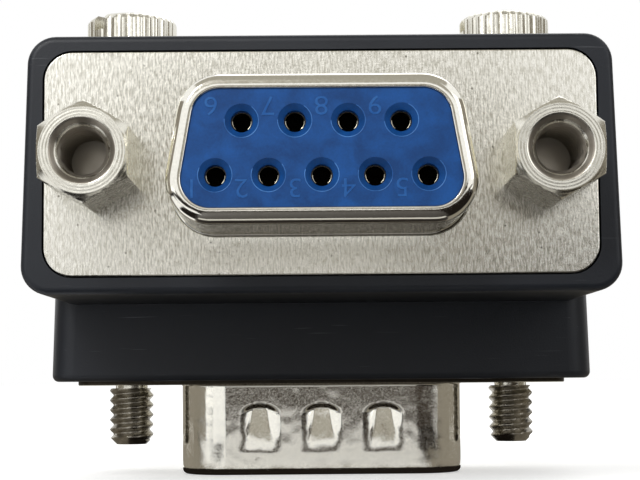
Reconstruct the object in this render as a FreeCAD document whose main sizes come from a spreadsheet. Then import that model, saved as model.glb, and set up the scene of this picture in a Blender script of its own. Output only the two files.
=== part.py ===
import FreeCAD, Part
import os
import Sketcher

# Right-angle 9-way D-sub adapter
#
# The frame's origin is the centre of the plug's flange face. X runs to the right across both
# connectors, Y runs back, away from the socket's mouth, and Z runs up, away from the plug's mouth.
# Every size is in millimetres, and every angle in degrees.

doc = FreeCAD.newDocument("right_angle_adapter")

# Driving sizes: what each one measures, its name and its value

DRIVING_SIZES = {
    "flange_corner": 1.6,  # Corner radius of a flange
    "plate_thickness": 0.5,  # Sheet thickness of every flange
    "screw_clearance": 3.495,  # Plug skirt's side to the screw axis beside it
    "flange_ear": 2.85,  # Screw axis to the flange's end
    "flange_margin": 1.0,  # Flange beyond its hood, above and below
    "flange_hole": 3.05,  # Screw hole in a flange
    "skirt_wall": 0.45,  # Wall of the drawn skirts
    "side_lean": 10.0,  # Lean of a skirt's short sides
    "root_radius": 0.8,  # Radius where a skirt leaves its flange
    "pin_pitch": 2.77,  # Distance between contacts in a row
    "row_spacing": 2.84,  # Distance between the two rows
    "row_end_margin": 1.285,  # End hole's mouth to the socket skirt's wall
    "row_side_margin": 1.19,  # A row's hole mouths to the wall above or below
    "socket_corner": 2.35,  # Socket skirt, outside corner radius
    "socket_standout": 5.9,  # Socket skirt, reach in front of its flange
    "lip_width": 0.95,  # Width of the lip rolled over the insulator
    "lip_thickness": 0.45,  # Thickness of that lip
    "lip_radius": 0.55,  # Outside radius of that lip
    "mating_gap_across": 0.385,  # Gap at each short side between a plug's skirt and a socket's
    "mating_gap_along": 0.23,  # The same gap at each long side
    "plug_corner": 2.6,  # Plug skirt, inside corner radius
    "plug_standout": 5.7,  # Plug skirt, reach below its flange
    "dimple_pitch": 3.8,  # Dimple spacing along the skirt
    "dimple_sink": 0.3,  # Dimple depth at its steep end
    "dimple_radius": 2.35,  # Dimple's cross radius
    "dimple_start": 1.4,  # Flange face to a dimple's steep end
    "dimple_length": 2.7,  # Length of a dimple
    "hood_step_across": 0.45,  # Rear hood beyond the plug's skirt at each short side
    "hood_step_along": 0.62,  # The same step at each long side
    "hood_corner": 3.0,  # Rear hood, outside corner radius
    "hood_reach": 4.5,  # Rear hood, reach behind the flanges
    "insulator_gap": 0.05,  # Gap between an insulator and its skirt
    "face_inset": 0.15,  # Socket insulator's face below the lip
    "hole_mouth": 1.78,  # Mouth of a contact hole
    "hole_bore": 1.15,  # Bore of a contact hole
    "hole_land": 0.9,  # Length of that bore with its mouth
    "plug_face": 1.0,  # Plug insulator's face below its flange
    "insulator_split": 3.0,  # Flange face to the joint of the halves
    "insulator_tail": 3.0,  # Length of an insulator's rear half
    "barrel_size": 1.6,  # Barrel of a contact
    "barrel_gap": 0.05,  # Gap between a barrel and its chamber
    "contact_bore": 1.05,  # Spring bore of a socket contact
    "contact_bore_depth": 5.2,  # Depth of that bore
    "pin_size": 1.02,  # Diameter of a plug pin
    "pin_reach": 5.5,  # Plug pin, reach below the flange
    "pin_taper": 0.3,  # Taper at the tip of a pin
    "pin_taper_length": 0.45,  # Length of that taper
    "cup_size": 1.3,  # Solder cup, outside diameter
    "cup_length": 2.0,  # Solder cup, reach behind its insulator
    "cup_bore_depth": 1.8,  # Depth of its bore
    "wire_size": 0.6,  # Side of a square link wire
    "wire_gap": 0.03,  # Gap between a wire and its cup
    "wire_bend": 1.2,  # Bend radius of a link wire
    "socket_reach": 18.8,  # Plug axis to the socket's flange face
    "socket_height": 12.25,  # Plug's flange face to the socket's axis
    "plug_proud": 0.25,  # Plug flange, proud of the housing
    "housing_border": 1.455,  # Housing beyond a flange's end, along its base
    "housing_taper": 0.525,  # Lean of each side from the base to the top
    "top_border": 0.95,  # Housing above the socket's flange
    "ledge_border": 1.0,  # Housing below the socket's flange
    "plug_border": 1.1,  # Housing rim in front of and behind the plug
    "housing_corner": 1.6,  # Radius along the housing's long edges
    "corner_step": 0.1,  # Radius of the lower block's front edges, less than the long edges'
    "housing_edge": 0.4,  # Radius of the housing's small edges
    "housing_wall": 1.7,  # Housing wall round the cavity
    "seat_gap": 0.08,  # Gap round a flange in its seat
    "hood_room": 0.5,  # Room round a rear hood
    "thread_major": 2.845,  # Thread's outside diameter
    "thread_minor": 2.4,  # Thread's inside diameter
    "thread_gap": 0.02,  # Gap between two threads
    "hex_flats": 4.76,  # Hexagon across its flats
    "standoff_length": 5.4,  # Standoff, reach in front of the flange
    "face_step": 0.1,  # Standoff's round front face, inside its flats
    "hex_slope": 45.0,  # Slope of the hexagon's front chamfer
    "standoff_mouth": 3.5,  # Mouth of the standoff's thread
    "standoff_bore_depth": 5.0,  # Depth of the standoff's thread
    "stud_length": 4.6,  # Length of the standoff's stud
    "nut_thickness": 1.7,  # Thickness of the standoff's nut
    "nut_gap": 0.1,  # Gap round a nut and past a stud
    "head_size": 5.95,  # Thumbscrew head, diameter
    "head_length": 4.9,  # Thumbscrew head, length
    "head_chamfer": 0.35,  # Thumbscrew head, edge chamfer
    "head_foot": 0.6,  # Thumbscrew head, plain neck below the flutes
    "head_gap": 0.05,  # Gap under a thumbscrew's head
    "flute_count": 32,  # Flutes round a head
    "flute_depth": 0.2,  # Depth of a flute
    "slot_width": 0.9,  # Screwdriver slot, width
    "slot_depth": 1.0,  # Screwdriver slot, depth
    "slot_turn_left": 48.0,  # Left slot, turned from the X axis
    "slot_turn_right": 12.0,  # Right slot, turned from the X axis
    "shank_size": 2.1,  # Thumbscrew shank, diameter
    "shank_gap": 0.075,  # Running gap round a shank
    "thread_reach": 3.85,  # Thumbscrew thread, reach below the flange
    "thread_start": 0.2,  # Flange face to the start of the thumbscrew's thread
    "thread_chamfer": 0.45,  # Chamfer at a thread's end
    "thread_room": 0.2,  # Room round a thread in the housing
    "thread_room_depth": 2.1,  # Depth of that room, for a screw that is drawn back
}

# Sizes that follow from the driving ones

DERIVED_SIZES = {
    "socket_width": "4 * pin_pitch + hole_mouth + 2 * row_end_margin + 2 * skirt_wall",
    "socket_depth": "row_spacing + hole_mouth + 2 * row_side_margin + 2 * skirt_wall",
    "plug_width": "socket_width + 2 * mating_gap_across",
    "plug_depth": "socket_depth + 2 * mating_gap_along",
    "plug_outer_width": "plug_width + 2 * skirt_wall",
    "plug_outer_depth": "plug_depth + 2 * skirt_wall",
    "plug_outer_corner": "plug_corner + skirt_wall",
    "hood_width": "plug_outer_width + 2 * hood_step_across",
    "hood_depth": "plug_outer_depth + 2 * hood_step_along",
    "screw_offset": "plug_outer_width / 2 + screw_clearance",
    "flange_width": "2 * screw_offset + 2 * flange_ear",
    "flange_height": "hood_depth + 2 * flange_margin",
    "row_offset": "row_spacing / 2",
    "flange_stack": "2 * plate_thickness",
    "socket_inner_width": "socket_width - 2 * skirt_wall",
    "socket_inner_depth": "socket_depth - 2 * skirt_wall",
    "socket_inner_corner": "socket_corner - skirt_wall",
    "socket_bore_length": "plate_thickness + socket_standout - lip_thickness",
    "window_width": "socket_width - 2 * lip_width",
    "window_depth": "socket_depth - 2 * lip_width",
    "window_corner": "socket_corner - lip_width",
    "hood_inner_width": "hood_width - 2 * skirt_wall",
    "hood_inner_depth": "hood_depth - 2 * skirt_wall",
    "hood_inner_corner": "hood_corner - skirt_wall",
    "hood_length": "flange_stack + hood_reach",
    "socket_core_width": "socket_inner_width - 2 * insulator_gap",
    "socket_core_depth": "socket_inner_depth - 2 * insulator_gap",
    "socket_core_corner": "socket_inner_corner - insulator_gap",
    "socket_core_length": "socket_bore_length - insulator_gap",
    "face_width": "window_width - 2 * insulator_gap",
    "face_depth": "window_depth - 2 * insulator_gap",
    "face_corner": "window_corner - insulator_gap",
    "face_level": "socket_standout - face_inset",
    "face_length": "plate_thickness + face_level",
    "plug_core_width": "plug_width - 2 * insulator_gap",
    "plug_core_depth": "plug_depth - 2 * insulator_gap",
    "plug_core_corner": "plug_corner - insulator_gap",
    "plug_core_length": "plate_thickness + plug_face",
    "tail_width": "hood_inner_width - 2 * insulator_gap",
    "tail_depth": "hood_inner_depth - 2 * insulator_gap",
    "tail_corner": "hood_inner_corner - insulator_gap",
    "tail_front_length": "insulator_split - plate_thickness",
    "tail_end": "insulator_split + insulator_tail",
    "mouth_chamfer": "(hole_mouth - hole_bore) / 2",
    "chamber_size": "barrel_size + 2 * barrel_gap",
    "cup_room": "cup_size + 2 * barrel_gap",
    "socket_chamber_length": "face_level - hole_land + insulator_split",
    "contact_tip": "face_level - hole_land - barrel_gap",
    "cup_end": "tail_end + cup_length",
    "cup_floor": "cup_end - cup_bore_depth",
    "cup_bore": "wire_size * sqrt(2) + 2 * wire_gap",
    "wire_end": "cup_floor + wire_gap",
    "plug_hole": "pin_size + 2 * barrel_gap",
    "housing_width_base": "flange_width + 2 * housing_border",
    "housing_width_top": "housing_width_base - 2 * housing_taper",
    "housing_top": "socket_height + flange_height / 2 + top_border",
    "ledge_level": "socket_height - flange_height / 2 - ledge_border",
    "block_half_depth": "flange_height / 2 + plug_border",
    "housing_length": "socket_reach + block_half_depth",
    "block_corner": "housing_corner - corner_step",
    "seat_width": "flange_width + 2 * seat_gap",
    "seat_height": "flange_height + 2 * seat_gap",
    "seat_corner": "flange_corner + seat_gap",
    "plug_seat_depth": "flange_stack - plug_proud",
    "cavity_width": "hood_width + 2 * hood_room",
    "cavity_depth": "hood_depth + 2 * hood_room",
    "cavity_length": "housing_length - housing_wall",
    "cavity_rise": "socket_height + cavity_depth / 2 - plug_proud",
    "standoff_face": "hex_flats - 2 * face_step",
    "nut_pocket_flats": "hex_flats + 2 * nut_gap",
    "nut_pocket_depth": "flange_stack + nut_thickness + nut_gap",
    "stud_room": "thread_major + 2 * nut_gap",
    "stud_pocket_depth": "stud_length + nut_gap",
    "nut_bore": "thread_major + 2 * thread_gap",
    "shank_bore": "shank_size + 2 * shank_gap",
    "thread_bore": "thread_major + 2 * thread_room",
    "head_base": "housing_top + head_gap",
    "head_top": "head_base + head_length",
    "standoff_chamfer": "(standoff_mouth - thread_minor) / 2",
}

sizes = doc.addObject("Spreadsheet::Sheet", "sizes")
cells = {alias: str(number) for alias, number in DRIVING_SIZES.items()}
cells.update({alias: "=" + formula for alias, formula in DERIVED_SIZES.items()})
for line, (alias, content) in enumerate(cells.items(), start=1):
    sizes.set("A%d" % line, alias.replace("_", " "))
    sizes.set("B%d" % line, content)
    sizes.setAlias("B%d" % line, alias)
doc.recompute()


def bound(expression):
    """The expression with each size's name pointed at its cell."""
    words = []
    word = ""
    for letter in expression + " ":
        if letter.isalnum() or letter == "_":
            word += letter
            continue
        words.append("sizes." + word if word in cells else word)
        words.append(letter)
        word = ""
    return "".join(words).strip()


def value_of(expression):
    """The number that an expression of sizes comes to."""
    return float(sizes.evalExpression(bound(expression)))


# Sketches whose every point is bound to the sheet

def new_body(label):
    """An empty body whose label is its node's name."""
    body = doc.addObject("PartDesign::Body", label)
    body.Label = label
    return body


def new_sketch(body, name, plane, level="0", across="0", up="0", turn="0"):
    """A sketch on one of the body's own planes, lifted to a level along the plane's normal."""
    sketch = body.newObject("Sketcher::SketchObject", name)
    for feature in body.Origin.OriginFeatures:
        if feature.Role == plane:
            sketch.AttachmentSupport = [(feature, "")]
    sketch.MapMode = "FlatFace"
    sketch.setExpression("AttachmentOffset.Base.x", bound(across))
    sketch.setExpression("AttachmentOffset.Base.y", bound(up))
    sketch.setExpression("AttachmentOffset.Base.z", bound(level))
    if turn != "0":
        sketch.setExpression("AttachmentOffset.Rotation.Angle", bound(turn))
    return sketch


def hold_point(sketch, edge, end, across, up):
    """Binds one point of an edge to its place, measured from the sketch's origin."""
    for kind, place, axis in (("DistanceX", across, -2), ("DistanceY", up, -1)):
        if place is None:
            continue
        number = value_of(place)
        if abs(number) < 1e-9:
            sketch.addConstraint(Sketcher.Constraint("PointOnObject", edge, end, axis))
        elif number > 0:
            index = sketch.addConstraint(Sketcher.Constraint(kind, -1, 1, edge, end, number))
            sketch.setExpression("Constraints[%d]" % index, bound(place))
        else:
            index = sketch.addConstraint(Sketcher.Constraint(kind, edge, end, -1, 1, -number))
            sketch.setExpression("Constraints[%d]" % index, bound("-(%s)" % place))


def draw_polygon(sketch, corners):
    """A closed outline of straight edges through corners given as expressions."""
    points = [FreeCAD.Vector(value_of(across), value_of(up), 0) for across, up in corners]
    edges = []
    for index, point in enumerate(points):
        following = points[(index + 1) % len(points)]
        edges.append(sketch.addGeometry(Part.LineSegment(point, following), False))
    for index, (across, up) in enumerate(corners):
        sketch.addConstraint(Sketcher.Constraint("Coincident", edges[index - 1], 2, edges[index], 1))
        hold_point(sketch, edges[index], 1, across, up)


def draw_circle(sketch, diameter, across="0", up="0"):
    """A circle bound to its diameter and centre."""
    centre = FreeCAD.Vector(value_of(across), value_of(up), 0)
    circle = Part.Circle(centre, FreeCAD.Vector(0, 0, 1), value_of(diameter) / 2)
    edge = sketch.addGeometry(circle, False)
    index = sketch.addConstraint(Sketcher.Constraint("Diameter", edge, value_of(diameter)))
    sketch.setExpression("Constraints[%d]" % index, bound(diameter))
    hold_point(sketch, edge, 3, across, up)


def draw_rounded(sketch, width, depth, corner, lean="0", long_side=-1):
    """A rounded rectangle, or a D whose short sides lean in, away from its long side."""
    wide = "(%s) / 2 - (%s)" % (width, corner)
    rise = "(%s) / 2 - (%s)" % (depth, corner)
    narrow = wide
    if lean != "0":
        narrow = "%s - 2 * (%s) * tan(%s)" % (wide, rise, lean)
    radius = value_of(corner)
    slope = FreeCAD.Base.Rotation(FreeCAD.Vector(0, 0, 1), value_of(lean) if lean != "0" else 0)
    low, high = (wide, narrow) if long_side < 0 else (narrow, wide)
    tilt = slope if long_side < 0 else slope.inverted()
    right = tilt.multVec(FreeCAD.Vector(radius, 0, 0))
    left = FreeCAD.Vector(-right.x, right.y, 0)
    down = FreeCAD.Vector(0, -radius, 0)
    up = FreeCAD.Vector(0, radius, 0)
    centres = [
        FreeCAD.Vector(value_of(low), -value_of(rise), 0),
        FreeCAD.Vector(value_of(high), value_of(rise), 0),
        FreeCAD.Vector(-value_of(high), value_of(rise), 0),
        FreeCAD.Vector(-value_of(low), -value_of(rise), 0),
    ]
    spans = [(down, right), (right, up), (up, left), (left, down)]
    arcs = []
    for centre, (start, end) in zip(centres, spans):
        middle = start + end
        middle.multiply(radius / middle.Length)
        arc = Part.Arc(centre + start, centre + middle, centre + end)
        arcs.append(sketch.addGeometry(arc, False))
    sides = []
    for index, (start, end) in enumerate(spans):
        following = (index + 1) % 4
        line = Part.LineSegment(centres[index] + end, centres[following] + end)
        sides.append(sketch.addGeometry(line, False))
    for index, side in enumerate(sides):
        following = arcs[(index + 1) % 4]
        sketch.addConstraint(Sketcher.Constraint("Tangent", arcs[index], 2, side, 1))
        sketch.addConstraint(Sketcher.Constraint("Tangent", side, 2, following, 1))
    sketch.addConstraint(Sketcher.Constraint("Horizontal", sides[1]))
    sketch.addConstraint(Sketcher.Constraint("Horizontal", sides[3]))
    for arc in arcs[1:]:
        sketch.addConstraint(Sketcher.Constraint("Equal", arcs[0], arc))
    index = sketch.addConstraint(Sketcher.Constraint("Radius", arcs[0], radius))
    sketch.setExpression("Constraints[%d]" % index, bound(corner))
    hold_point(sketch, arcs[0], 3, low, "-(%s)" % rise)
    hold_point(sketch, arcs[1], 3, high, rise)
    hold_point(sketch, arcs[2], 3, "-(%s)" % high, None)
    hold_point(sketch, arcs[3], 3, "-(%s)" % low, None)


# Features

def pad(body, sketch, length, backwards=False):
    """Material from the sketch along its normal, or backwards from it."""
    feature = body.newObject("PartDesign::Pad", sketch.Name + "_pad")
    feature.Profile = sketch
    feature.setExpression("Length", bound(length))
    feature.Reversed = backwards
    sketch.Visibility = False
    return feature


def pocket(body, sketch, length, along_normal=False):
    """A cut from the sketch against its normal, or along it, that has to remove material."""
    doc.recompute()
    volume = body.Shape.Volume
    feature = body.newObject("PartDesign::Pocket", sketch.Name + "_cut")
    feature.Profile = sketch
    feature.setExpression("Length", bound(length))
    feature.Reversed = along_normal
    doc.recompute()
    if body.Shape.Volume >= volume:
        raise RuntimeError("%s removes nothing" % sketch.Name)
    return feature


def revolve(body, sketch):
    """A turned solid about the sketch's upright axis."""
    feature = body.newObject("PartDesign::Revolution", sketch.Name + "_turned")
    feature.Profile = sketch
    feature.ReferenceAxis = (sketch, ["V_Axis"])
    feature.Angle = 360
    return feature


def turn_off(body, sketch):
    """A turned cut about the sketch's upright axis that has to remove material."""
    doc.recompute()
    volume = body.Shape.Volume
    feature = body.newObject("PartDesign::Groove", sketch.Name + "_turned_off")
    feature.Profile = sketch
    feature.ReferenceAxis = (sketch, ["V_Axis"])
    feature.Angle = 360
    doc.recompute()
    if body.Shape.Volume >= volume:
        raise RuntimeError("%s removes nothing" % sketch.Name)
    return feature


def edges_where(feature, chosen):
    """Names of the feature's edges whose box passes a test."""
    names = []
    for index, edge in enumerate(feature.Shape.Edges, start=1):
        if chosen(edge):
            names.append("Edge%d" % index)
    if not names:
        raise RuntimeError("%s has no such edge" % feature.Name)
    return names


def dress(body, kind, name, chosen, size):
    """A fillet or chamfer of one size on the chosen edges of the body's last feature."""
    doc.recompute()
    base = body.Tip
    feature = body.newObject("PartDesign::" + kind, name)
    feature.Base = (base, edges_where(base, chosen))
    feature.setExpression("Radius" if kind == "Fillet" else "Size", bound(size))
    doc.recompute()
    return feature


TOUCH = 0.001


def lies_at(edge, axis, level):
    """Whether an edge lies wholly at one level of an axis of its body."""
    box = edge.BoundBox
    low, high = getattr(box, axis + "Min"), getattr(box, axis + "Max")
    return abs(low - level) < TOUCH and abs(high - level) < TOUCH


def within(edge, width, depth):
    """Whether an edge stays inside a middle rectangle of its body."""
    box = edge.BoundBox
    return max(abs(box.XMin), abs(box.XMax)) < width / 2 and max(abs(box.YMin), abs(box.YMax)) < depth / 2


# Places: the socket looks forwards, with its long side down, and the plug looks down, with its long
# side forwards. In both bodies Z is the way that the connector looks, from its flange face.

def place_on_socket(body, across="0", up="0"):
    """Sets a piece on the socket's flange face, off its centre where asked."""
    body.Placement.Rotation = FreeCAD.Rotation(FreeCAD.Vector(1, 0, 0), 90)
    body.setExpression("Placement.Base.x", bound(across))
    body.setExpression("Placement.Base.y", bound("-socket_reach"))
    body.setExpression("Placement.Base.z", bound("socket_height + " + up))


def place_on_plug(body, across="0", back="0"):
    """Sets a piece on the plug's flange face, off its centre where asked."""
    body.Placement.Rotation = FreeCAD.Rotation(FreeCAD.Vector(1, 0, 0), 180)
    body.setExpression("Placement.Base.x", bound(across))
    body.setExpression("Placement.Base.y", bound(back))


SIDES = (("left", "-screw_offset"), ("right", "screw_offset"))
SOCKET_LONG_SIDE = -1
PLUG_LONG_SIDE = 1
ROW_OF_FIVE = range(1, 6)
ROW_OF_FOUR = range(6, 10)


def contact_across(number):
    """Distance of a contact from the middle of its row."""
    if number in ROW_OF_FIVE:
        return "%d * pin_pitch" % (number - 3)
    return "%.1f * pin_pitch" % (number - 7.5)


def draw_contact_holes(sketch, diameter, long_side):
    """One circle for each of the nine contacts, five of them on the long side."""
    for number in (*ROW_OF_FIVE, *ROW_OF_FOUR):
        side = long_side if number in ROW_OF_FIVE else -long_side
        draw_circle(sketch, diameter, contact_across(number), "%d * row_offset" % side)


# Connector shells: a front flange with its drawn skirt, and a rear flange with its hood

def draw_screw_holes(sketch, diameter):
    """The pair of holes on the screw axes."""
    for _, across in SIDES:
        draw_circle(sketch, diameter, across)


def add_flange(body, thickness="plate_thickness", level="0"):
    """A flange plate whose front face lies at the level, with its two screw holes."""
    outline = new_sketch(body, body.Name + "_flange", "XY_Plane", level)
    draw_rounded(outline, "flange_width", "flange_height", "flange_corner")
    draw_screw_holes(outline, "flange_hole")
    return pad(body, outline, thickness, backwards=True)


def socket_shell():
    """The socket's steel shell: its skirt ends in a lip rolled in over the insulator."""
    body = new_body("socket_shell")
    add_flange(body)
    skirt = new_sketch(body, "socket_skirt", "XY_Plane")
    draw_rounded(skirt, "socket_width", "socket_depth", "socket_corner", "side_lean", SOCKET_LONG_SIDE)
    pad(body, skirt, "socket_standout")
    reach = value_of("socket_standout")
    span = value_of("socket_width") + 1
    depth = value_of("socket_depth") + 1
    dress(body, "Fillet", "socket_root",
          lambda edge: lies_at(edge, "Z", 0) and within(edge, span, depth), "root_radius")
    dress(body, "Fillet", "socket_lip_round", lambda edge: lies_at(edge, "Z", reach), "lip_radius")
    bore = new_sketch(body, "socket_bore", "XY_Plane", "-plate_thickness")
    draw_rounded(bore, "socket_inner_width", "socket_inner_depth", "socket_inner_corner",
                 "side_lean", SOCKET_LONG_SIDE)
    pocket(body, bore, "socket_bore_length", along_normal=True)
    window = new_sketch(body, "socket_window", "XY_Plane", "socket_standout")
    draw_rounded(window, "window_width", "window_depth", "window_corner", "side_lean", SOCKET_LONG_SIDE)
    pocket(body, window, "2 * lip_thickness")
    place_on_socket(body)
    return body


def add_dimple(body, name, across, side, inwards):
    """Takes one dimple's wedge out of a skirt's wall, deepest at its steep end near the flange."""
    tool = body.newObject("PartDesign::SubtractiveCylinder", name)
    wall = "(plug_depth / 2 + %s)" % ("0" if inwards else "skirt_wall")
    tool.setExpression("Radius", bound("dimple_radius"))
    tool.setExpression("Height", bound("dimple_length / cos(atan(dimple_sink / dimple_length))"))
    tool.setExpression("Placement.Base.x", bound(across))
    tool.setExpression("Placement.Base.y", bound("%d * (%s - dimple_sink + dimple_radius)" % (side, wall)))
    tool.setExpression("Placement.Base.z", bound("dimple_start"))
    tilt = value_of("atan(dimple_sink / dimple_length)")
    tool.Placement.Rotation = FreeCAD.Rotation(FreeCAD.Vector(1, 0, 0), -side * tilt)
    return tool


DIMPLES = (
    ("long_a", "-dimple_pitch", PLUG_LONG_SIDE),
    ("long_b", "0", PLUG_LONG_SIDE),
    ("long_c", "dimple_pitch", PLUG_LONG_SIDE),
    ("short_a", "-dimple_pitch / 2", -PLUG_LONG_SIDE),
    ("short_b", "dimple_pitch / 2", -PLUG_LONG_SIDE),
)


def plug_shell():
    """The plug's steel shell: an open skirt with dimples pressed in from outside."""
    outside = new_body("plug_shell_outside")
    add_flange(outside)
    skirt = new_sketch(outside, "plug_skirt", "XY_Plane")
    draw_rounded(skirt, "plug_outer_width", "plug_outer_depth", "plug_outer_corner",
                 "side_lean", PLUG_LONG_SIDE)
    pad(outside, skirt, "plug_standout")
    span = value_of("plug_outer_width") + 1
    depth = value_of("plug_outer_depth") + 1
    dress(outside, "Fillet", "plug_root",
          lambda edge: lies_at(edge, "Z", 0) and within(edge, span, depth), "root_radius")
    inside = new_body("plug_shell_inside")
    bore = new_sketch(inside, "plug_bore", "XY_Plane", "-2 * plate_thickness")
    draw_rounded(bore, "plug_width", "plug_depth", "plug_corner", "side_lean", PLUG_LONG_SIDE)
    pad(inside, bore, "plug_standout + 3 * plate_thickness")
    for name, across, side in DIMPLES:
        add_dimple(outside, "dimple_" + name, across, side, inwards=False)
        add_dimple(inside, "bump_" + name, across, side, inwards=True)
    shell = doc.addObject("Part::Cut", "plug_shell")
    shell.Label = "plug_shell"
    shell.Base = outside
    shell.Tool = inside
    place_on_plug(shell)
    return shell


def rear_shell(label, place, long_side):
    """The stamped plate behind a flange, drawn out into a hood round the insulator's rear half."""
    body = new_body(label)
    add_flange(body, level="-plate_thickness")
    hood = new_sketch(body, label + "_hood", "XY_Plane", "-plate_thickness")
    draw_rounded(hood, "hood_width", "hood_depth", "hood_corner", "side_lean", long_side)
    pad(body, hood, "hood_length - plate_thickness", backwards=True)
    bore = new_sketch(body, label + "_bore", "XY_Plane", "-plate_thickness")
    draw_rounded(bore, "hood_inner_width", "hood_inner_depth", "hood_inner_corner", "side_lean", long_side)
    pocket(body, bore, "hood_length")
    place(body)
    return body


# Insulators: a front half that fills the skirt, and a rear half that fills the hood

def bore_chambers(body, long_side, level, length, diameter, name):
    """Nine round chambers from a level towards the connector's face."""
    holes = new_sketch(body, name, "XY_Plane", level)
    draw_contact_holes(holes, diameter, long_side)
    return pocket(body, holes, length, along_normal=True)


def socket_insulator():
    """The socket's front half: nine countersunk holes in a face that fills the lip's window."""
    body = new_body("socket_insulator")
    tail = new_sketch(body, "socket_tail", "XY_Plane", "-plate_thickness - insulator_gap")
    draw_rounded(tail, "tail_width", "tail_depth", "tail_corner", "side_lean", SOCKET_LONG_SIDE)
    pad(body, tail, "tail_front_length - insulator_gap", backwards=True)
    core = new_sketch(body, "socket_core", "XY_Plane", "-plate_thickness - insulator_gap")
    draw_rounded(core, "socket_core_width", "socket_core_depth", "socket_core_corner",
                 "side_lean", SOCKET_LONG_SIDE)
    pad(body, core, "socket_core_length")
    face = new_sketch(body, "socket_face", "XY_Plane", "-plate_thickness - insulator_gap")
    draw_rounded(face, "face_width", "face_depth", "face_corner", "side_lean", SOCKET_LONG_SIDE)
    pad(body, face, "face_length + insulator_gap")
    holes = new_sketch(body, "socket_holes", "XY_Plane", "face_level")
    draw_contact_holes(holes, "hole_bore", SOCKET_LONG_SIDE)
    pocket(body, holes, "face_level + insulator_split")
    level = value_of("face_level")
    mouth = value_of("hole_bore") * 1.01
    dress(body, "Chamfer", "socket_mouths",
          lambda edge: lies_at(edge, "Z", level) and edge.BoundBox.XLength < mouth, "mouth_chamfer")
    bore_chambers(body, SOCKET_LONG_SIDE, "-insulator_split", "socket_chamber_length",
                  "chamber_size", "socket_chambers")
    place_on_socket(body)
    return body


def plug_insulator():
    """The plug's front half: its face closes the skirt's floor round the nine pins."""
    body = new_body("plug_insulator")
    tail = new_sketch(body, "plug_tail", "XY_Plane", "-plate_thickness - insulator_gap")
    draw_rounded(tail, "tail_width", "tail_depth", "tail_corner", "side_lean", PLUG_LONG_SIDE)
    pad(body, tail, "tail_front_length - insulator_gap", backwards=True)
    core = new_sketch(body, "plug_core", "XY_Plane", "-plate_thickness - insulator_gap")
    draw_rounded(core, "plug_core_width", "plug_core_depth", "plug_core_corner",
                 "side_lean", PLUG_LONG_SIDE)
    pad(body, core, "plug_core_length + insulator_gap")
    holes = new_sketch(body, "plug_holes", "XY_Plane", "plug_face")
    draw_contact_holes(holes, "plug_hole", PLUG_LONG_SIDE)
    pocket(body, holes, "plug_face + insulator_split")
    bore_chambers(body, PLUG_LONG_SIDE, "-insulator_split", "insulator_split",
                  "chamber_size", "plug_chambers")
    place_on_plug(body)
    return body


def rear_insulator(label, place, long_side):
    """A rear half: it meets the front half and traps the contacts, whose thinner cups pass through."""
    body = new_body(label)
    tail = new_sketch(body, label + "_tail", "XY_Plane", "-insulator_split")
    draw_rounded(tail, "tail_width", "tail_depth", "tail_corner", "side_lean", long_side)
    draw_contact_holes(tail, "cup_room", long_side)
    pad(body, tail, "insulator_tail", backwards=True)
    place(body)
    return body


# Contacts, pins and the wires that link them

CONTACT_REAR = [
    ("barrel_size / 2", "-insulator_split + barrel_gap"),
    ("cup_size / 2", "-insulator_split + barrel_gap"),
    ("cup_size / 2", "-cup_end"),
    ("cup_bore / 2", "-cup_end"),
    ("cup_bore / 2", "-cup_floor"),
    ("0", "-cup_floor"),
]


def socket_contact(number):
    """A turned socket contact: a spring bore in front, and a thinner solder cup behind."""
    body = new_body("socket_contact_%d" % number)
    profile = new_sketch(body, "contact_profile_%d" % number, "XZ_Plane")
    spring = "contact_bore / 2"
    floor = "contact_tip - contact_bore_depth"
    front = [("0", floor), (spring, floor), (spring, "contact_tip"), ("barrel_size / 2", "contact_tip")]
    draw_polygon(profile, front + CONTACT_REAR)
    revolve(body, profile)
    side = SOCKET_LONG_SIDE if number in ROW_OF_FIVE else -SOCKET_LONG_SIDE
    place_on_socket(body, contact_across(number), "%d * row_offset" % side)
    return body


def plug_pin(number):
    """A turned pin with a tapered tip, a thicker barrel in the insulator and a solder cup behind."""
    body = new_body("plug_pin_%d" % number)
    profile = new_sketch(body, "pin_profile_%d" % number, "XZ_Plane")
    shank = "pin_size / 2"
    front = [
        ("0", "pin_reach"),
        ("pin_size / 2 - pin_taper", "pin_reach"),
        (shank, "pin_reach - pin_taper_length"),
        (shank, "-barrel_gap"),
        ("barrel_size / 2", "-barrel_gap"),
    ]
    draw_polygon(profile, front + CONTACT_REAR)
    revolve(body, profile)
    side = PLUG_LONG_SIDE if number in ROW_OF_FIVE else -PLUG_LONG_SIDE
    place_on_plug(body, contact_across(number), "%d * row_offset" % -side)
    return body


def link_wire(number):
    """A square wire bent once, from the socket contact's cup to the cup of the pin with its number."""
    body = new_body("link_wire_%d" % number)
    side = -1 if number in ROW_OF_FIVE else 1
    start = "wire_end - socket_reach"
    level = "socket_height + (%d * row_offset)" % side
    fall = "%d * row_offset" % side
    half = "wire_size / 2"
    outline = new_sketch(body, "wire_outline_%d" % number, "YZ_Plane", "-wire_size / 2")
    draw_polygon(outline, [
        (start, "%s - %s" % (level, half)),
        ("%s - %s" % (fall, half), "%s - %s" % (level, half)),
        ("%s - %s" % (fall, half), "wire_end"),
        ("%s + %s" % (fall, half), "wire_end"),
        ("%s + %s" % (fall, half), "%s + %s" % (level, half)),
        (start, "%s + %s" % (level, half)),
    ])
    pad(body, outline, "wire_size")
    for name, way in (("inside", "-"), ("outside", "+")):
        across_y = value_of("%s %s %s" % (fall, way, half))
        up_z = value_of("%s %s %s" % (level, way, half))
        dress(body, "Fillet", "wire_%s_bend_%d" % (name, number),
              lambda edge: lies_at(edge, "Y", across_y) and lies_at(edge, "Z", up_z),
              "wire_bend %s %s" % (way, half))
    body.setExpression("Placement.Base.x", bound(contact_across(number)))
    return body


# Standoffs and their nuts

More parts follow.
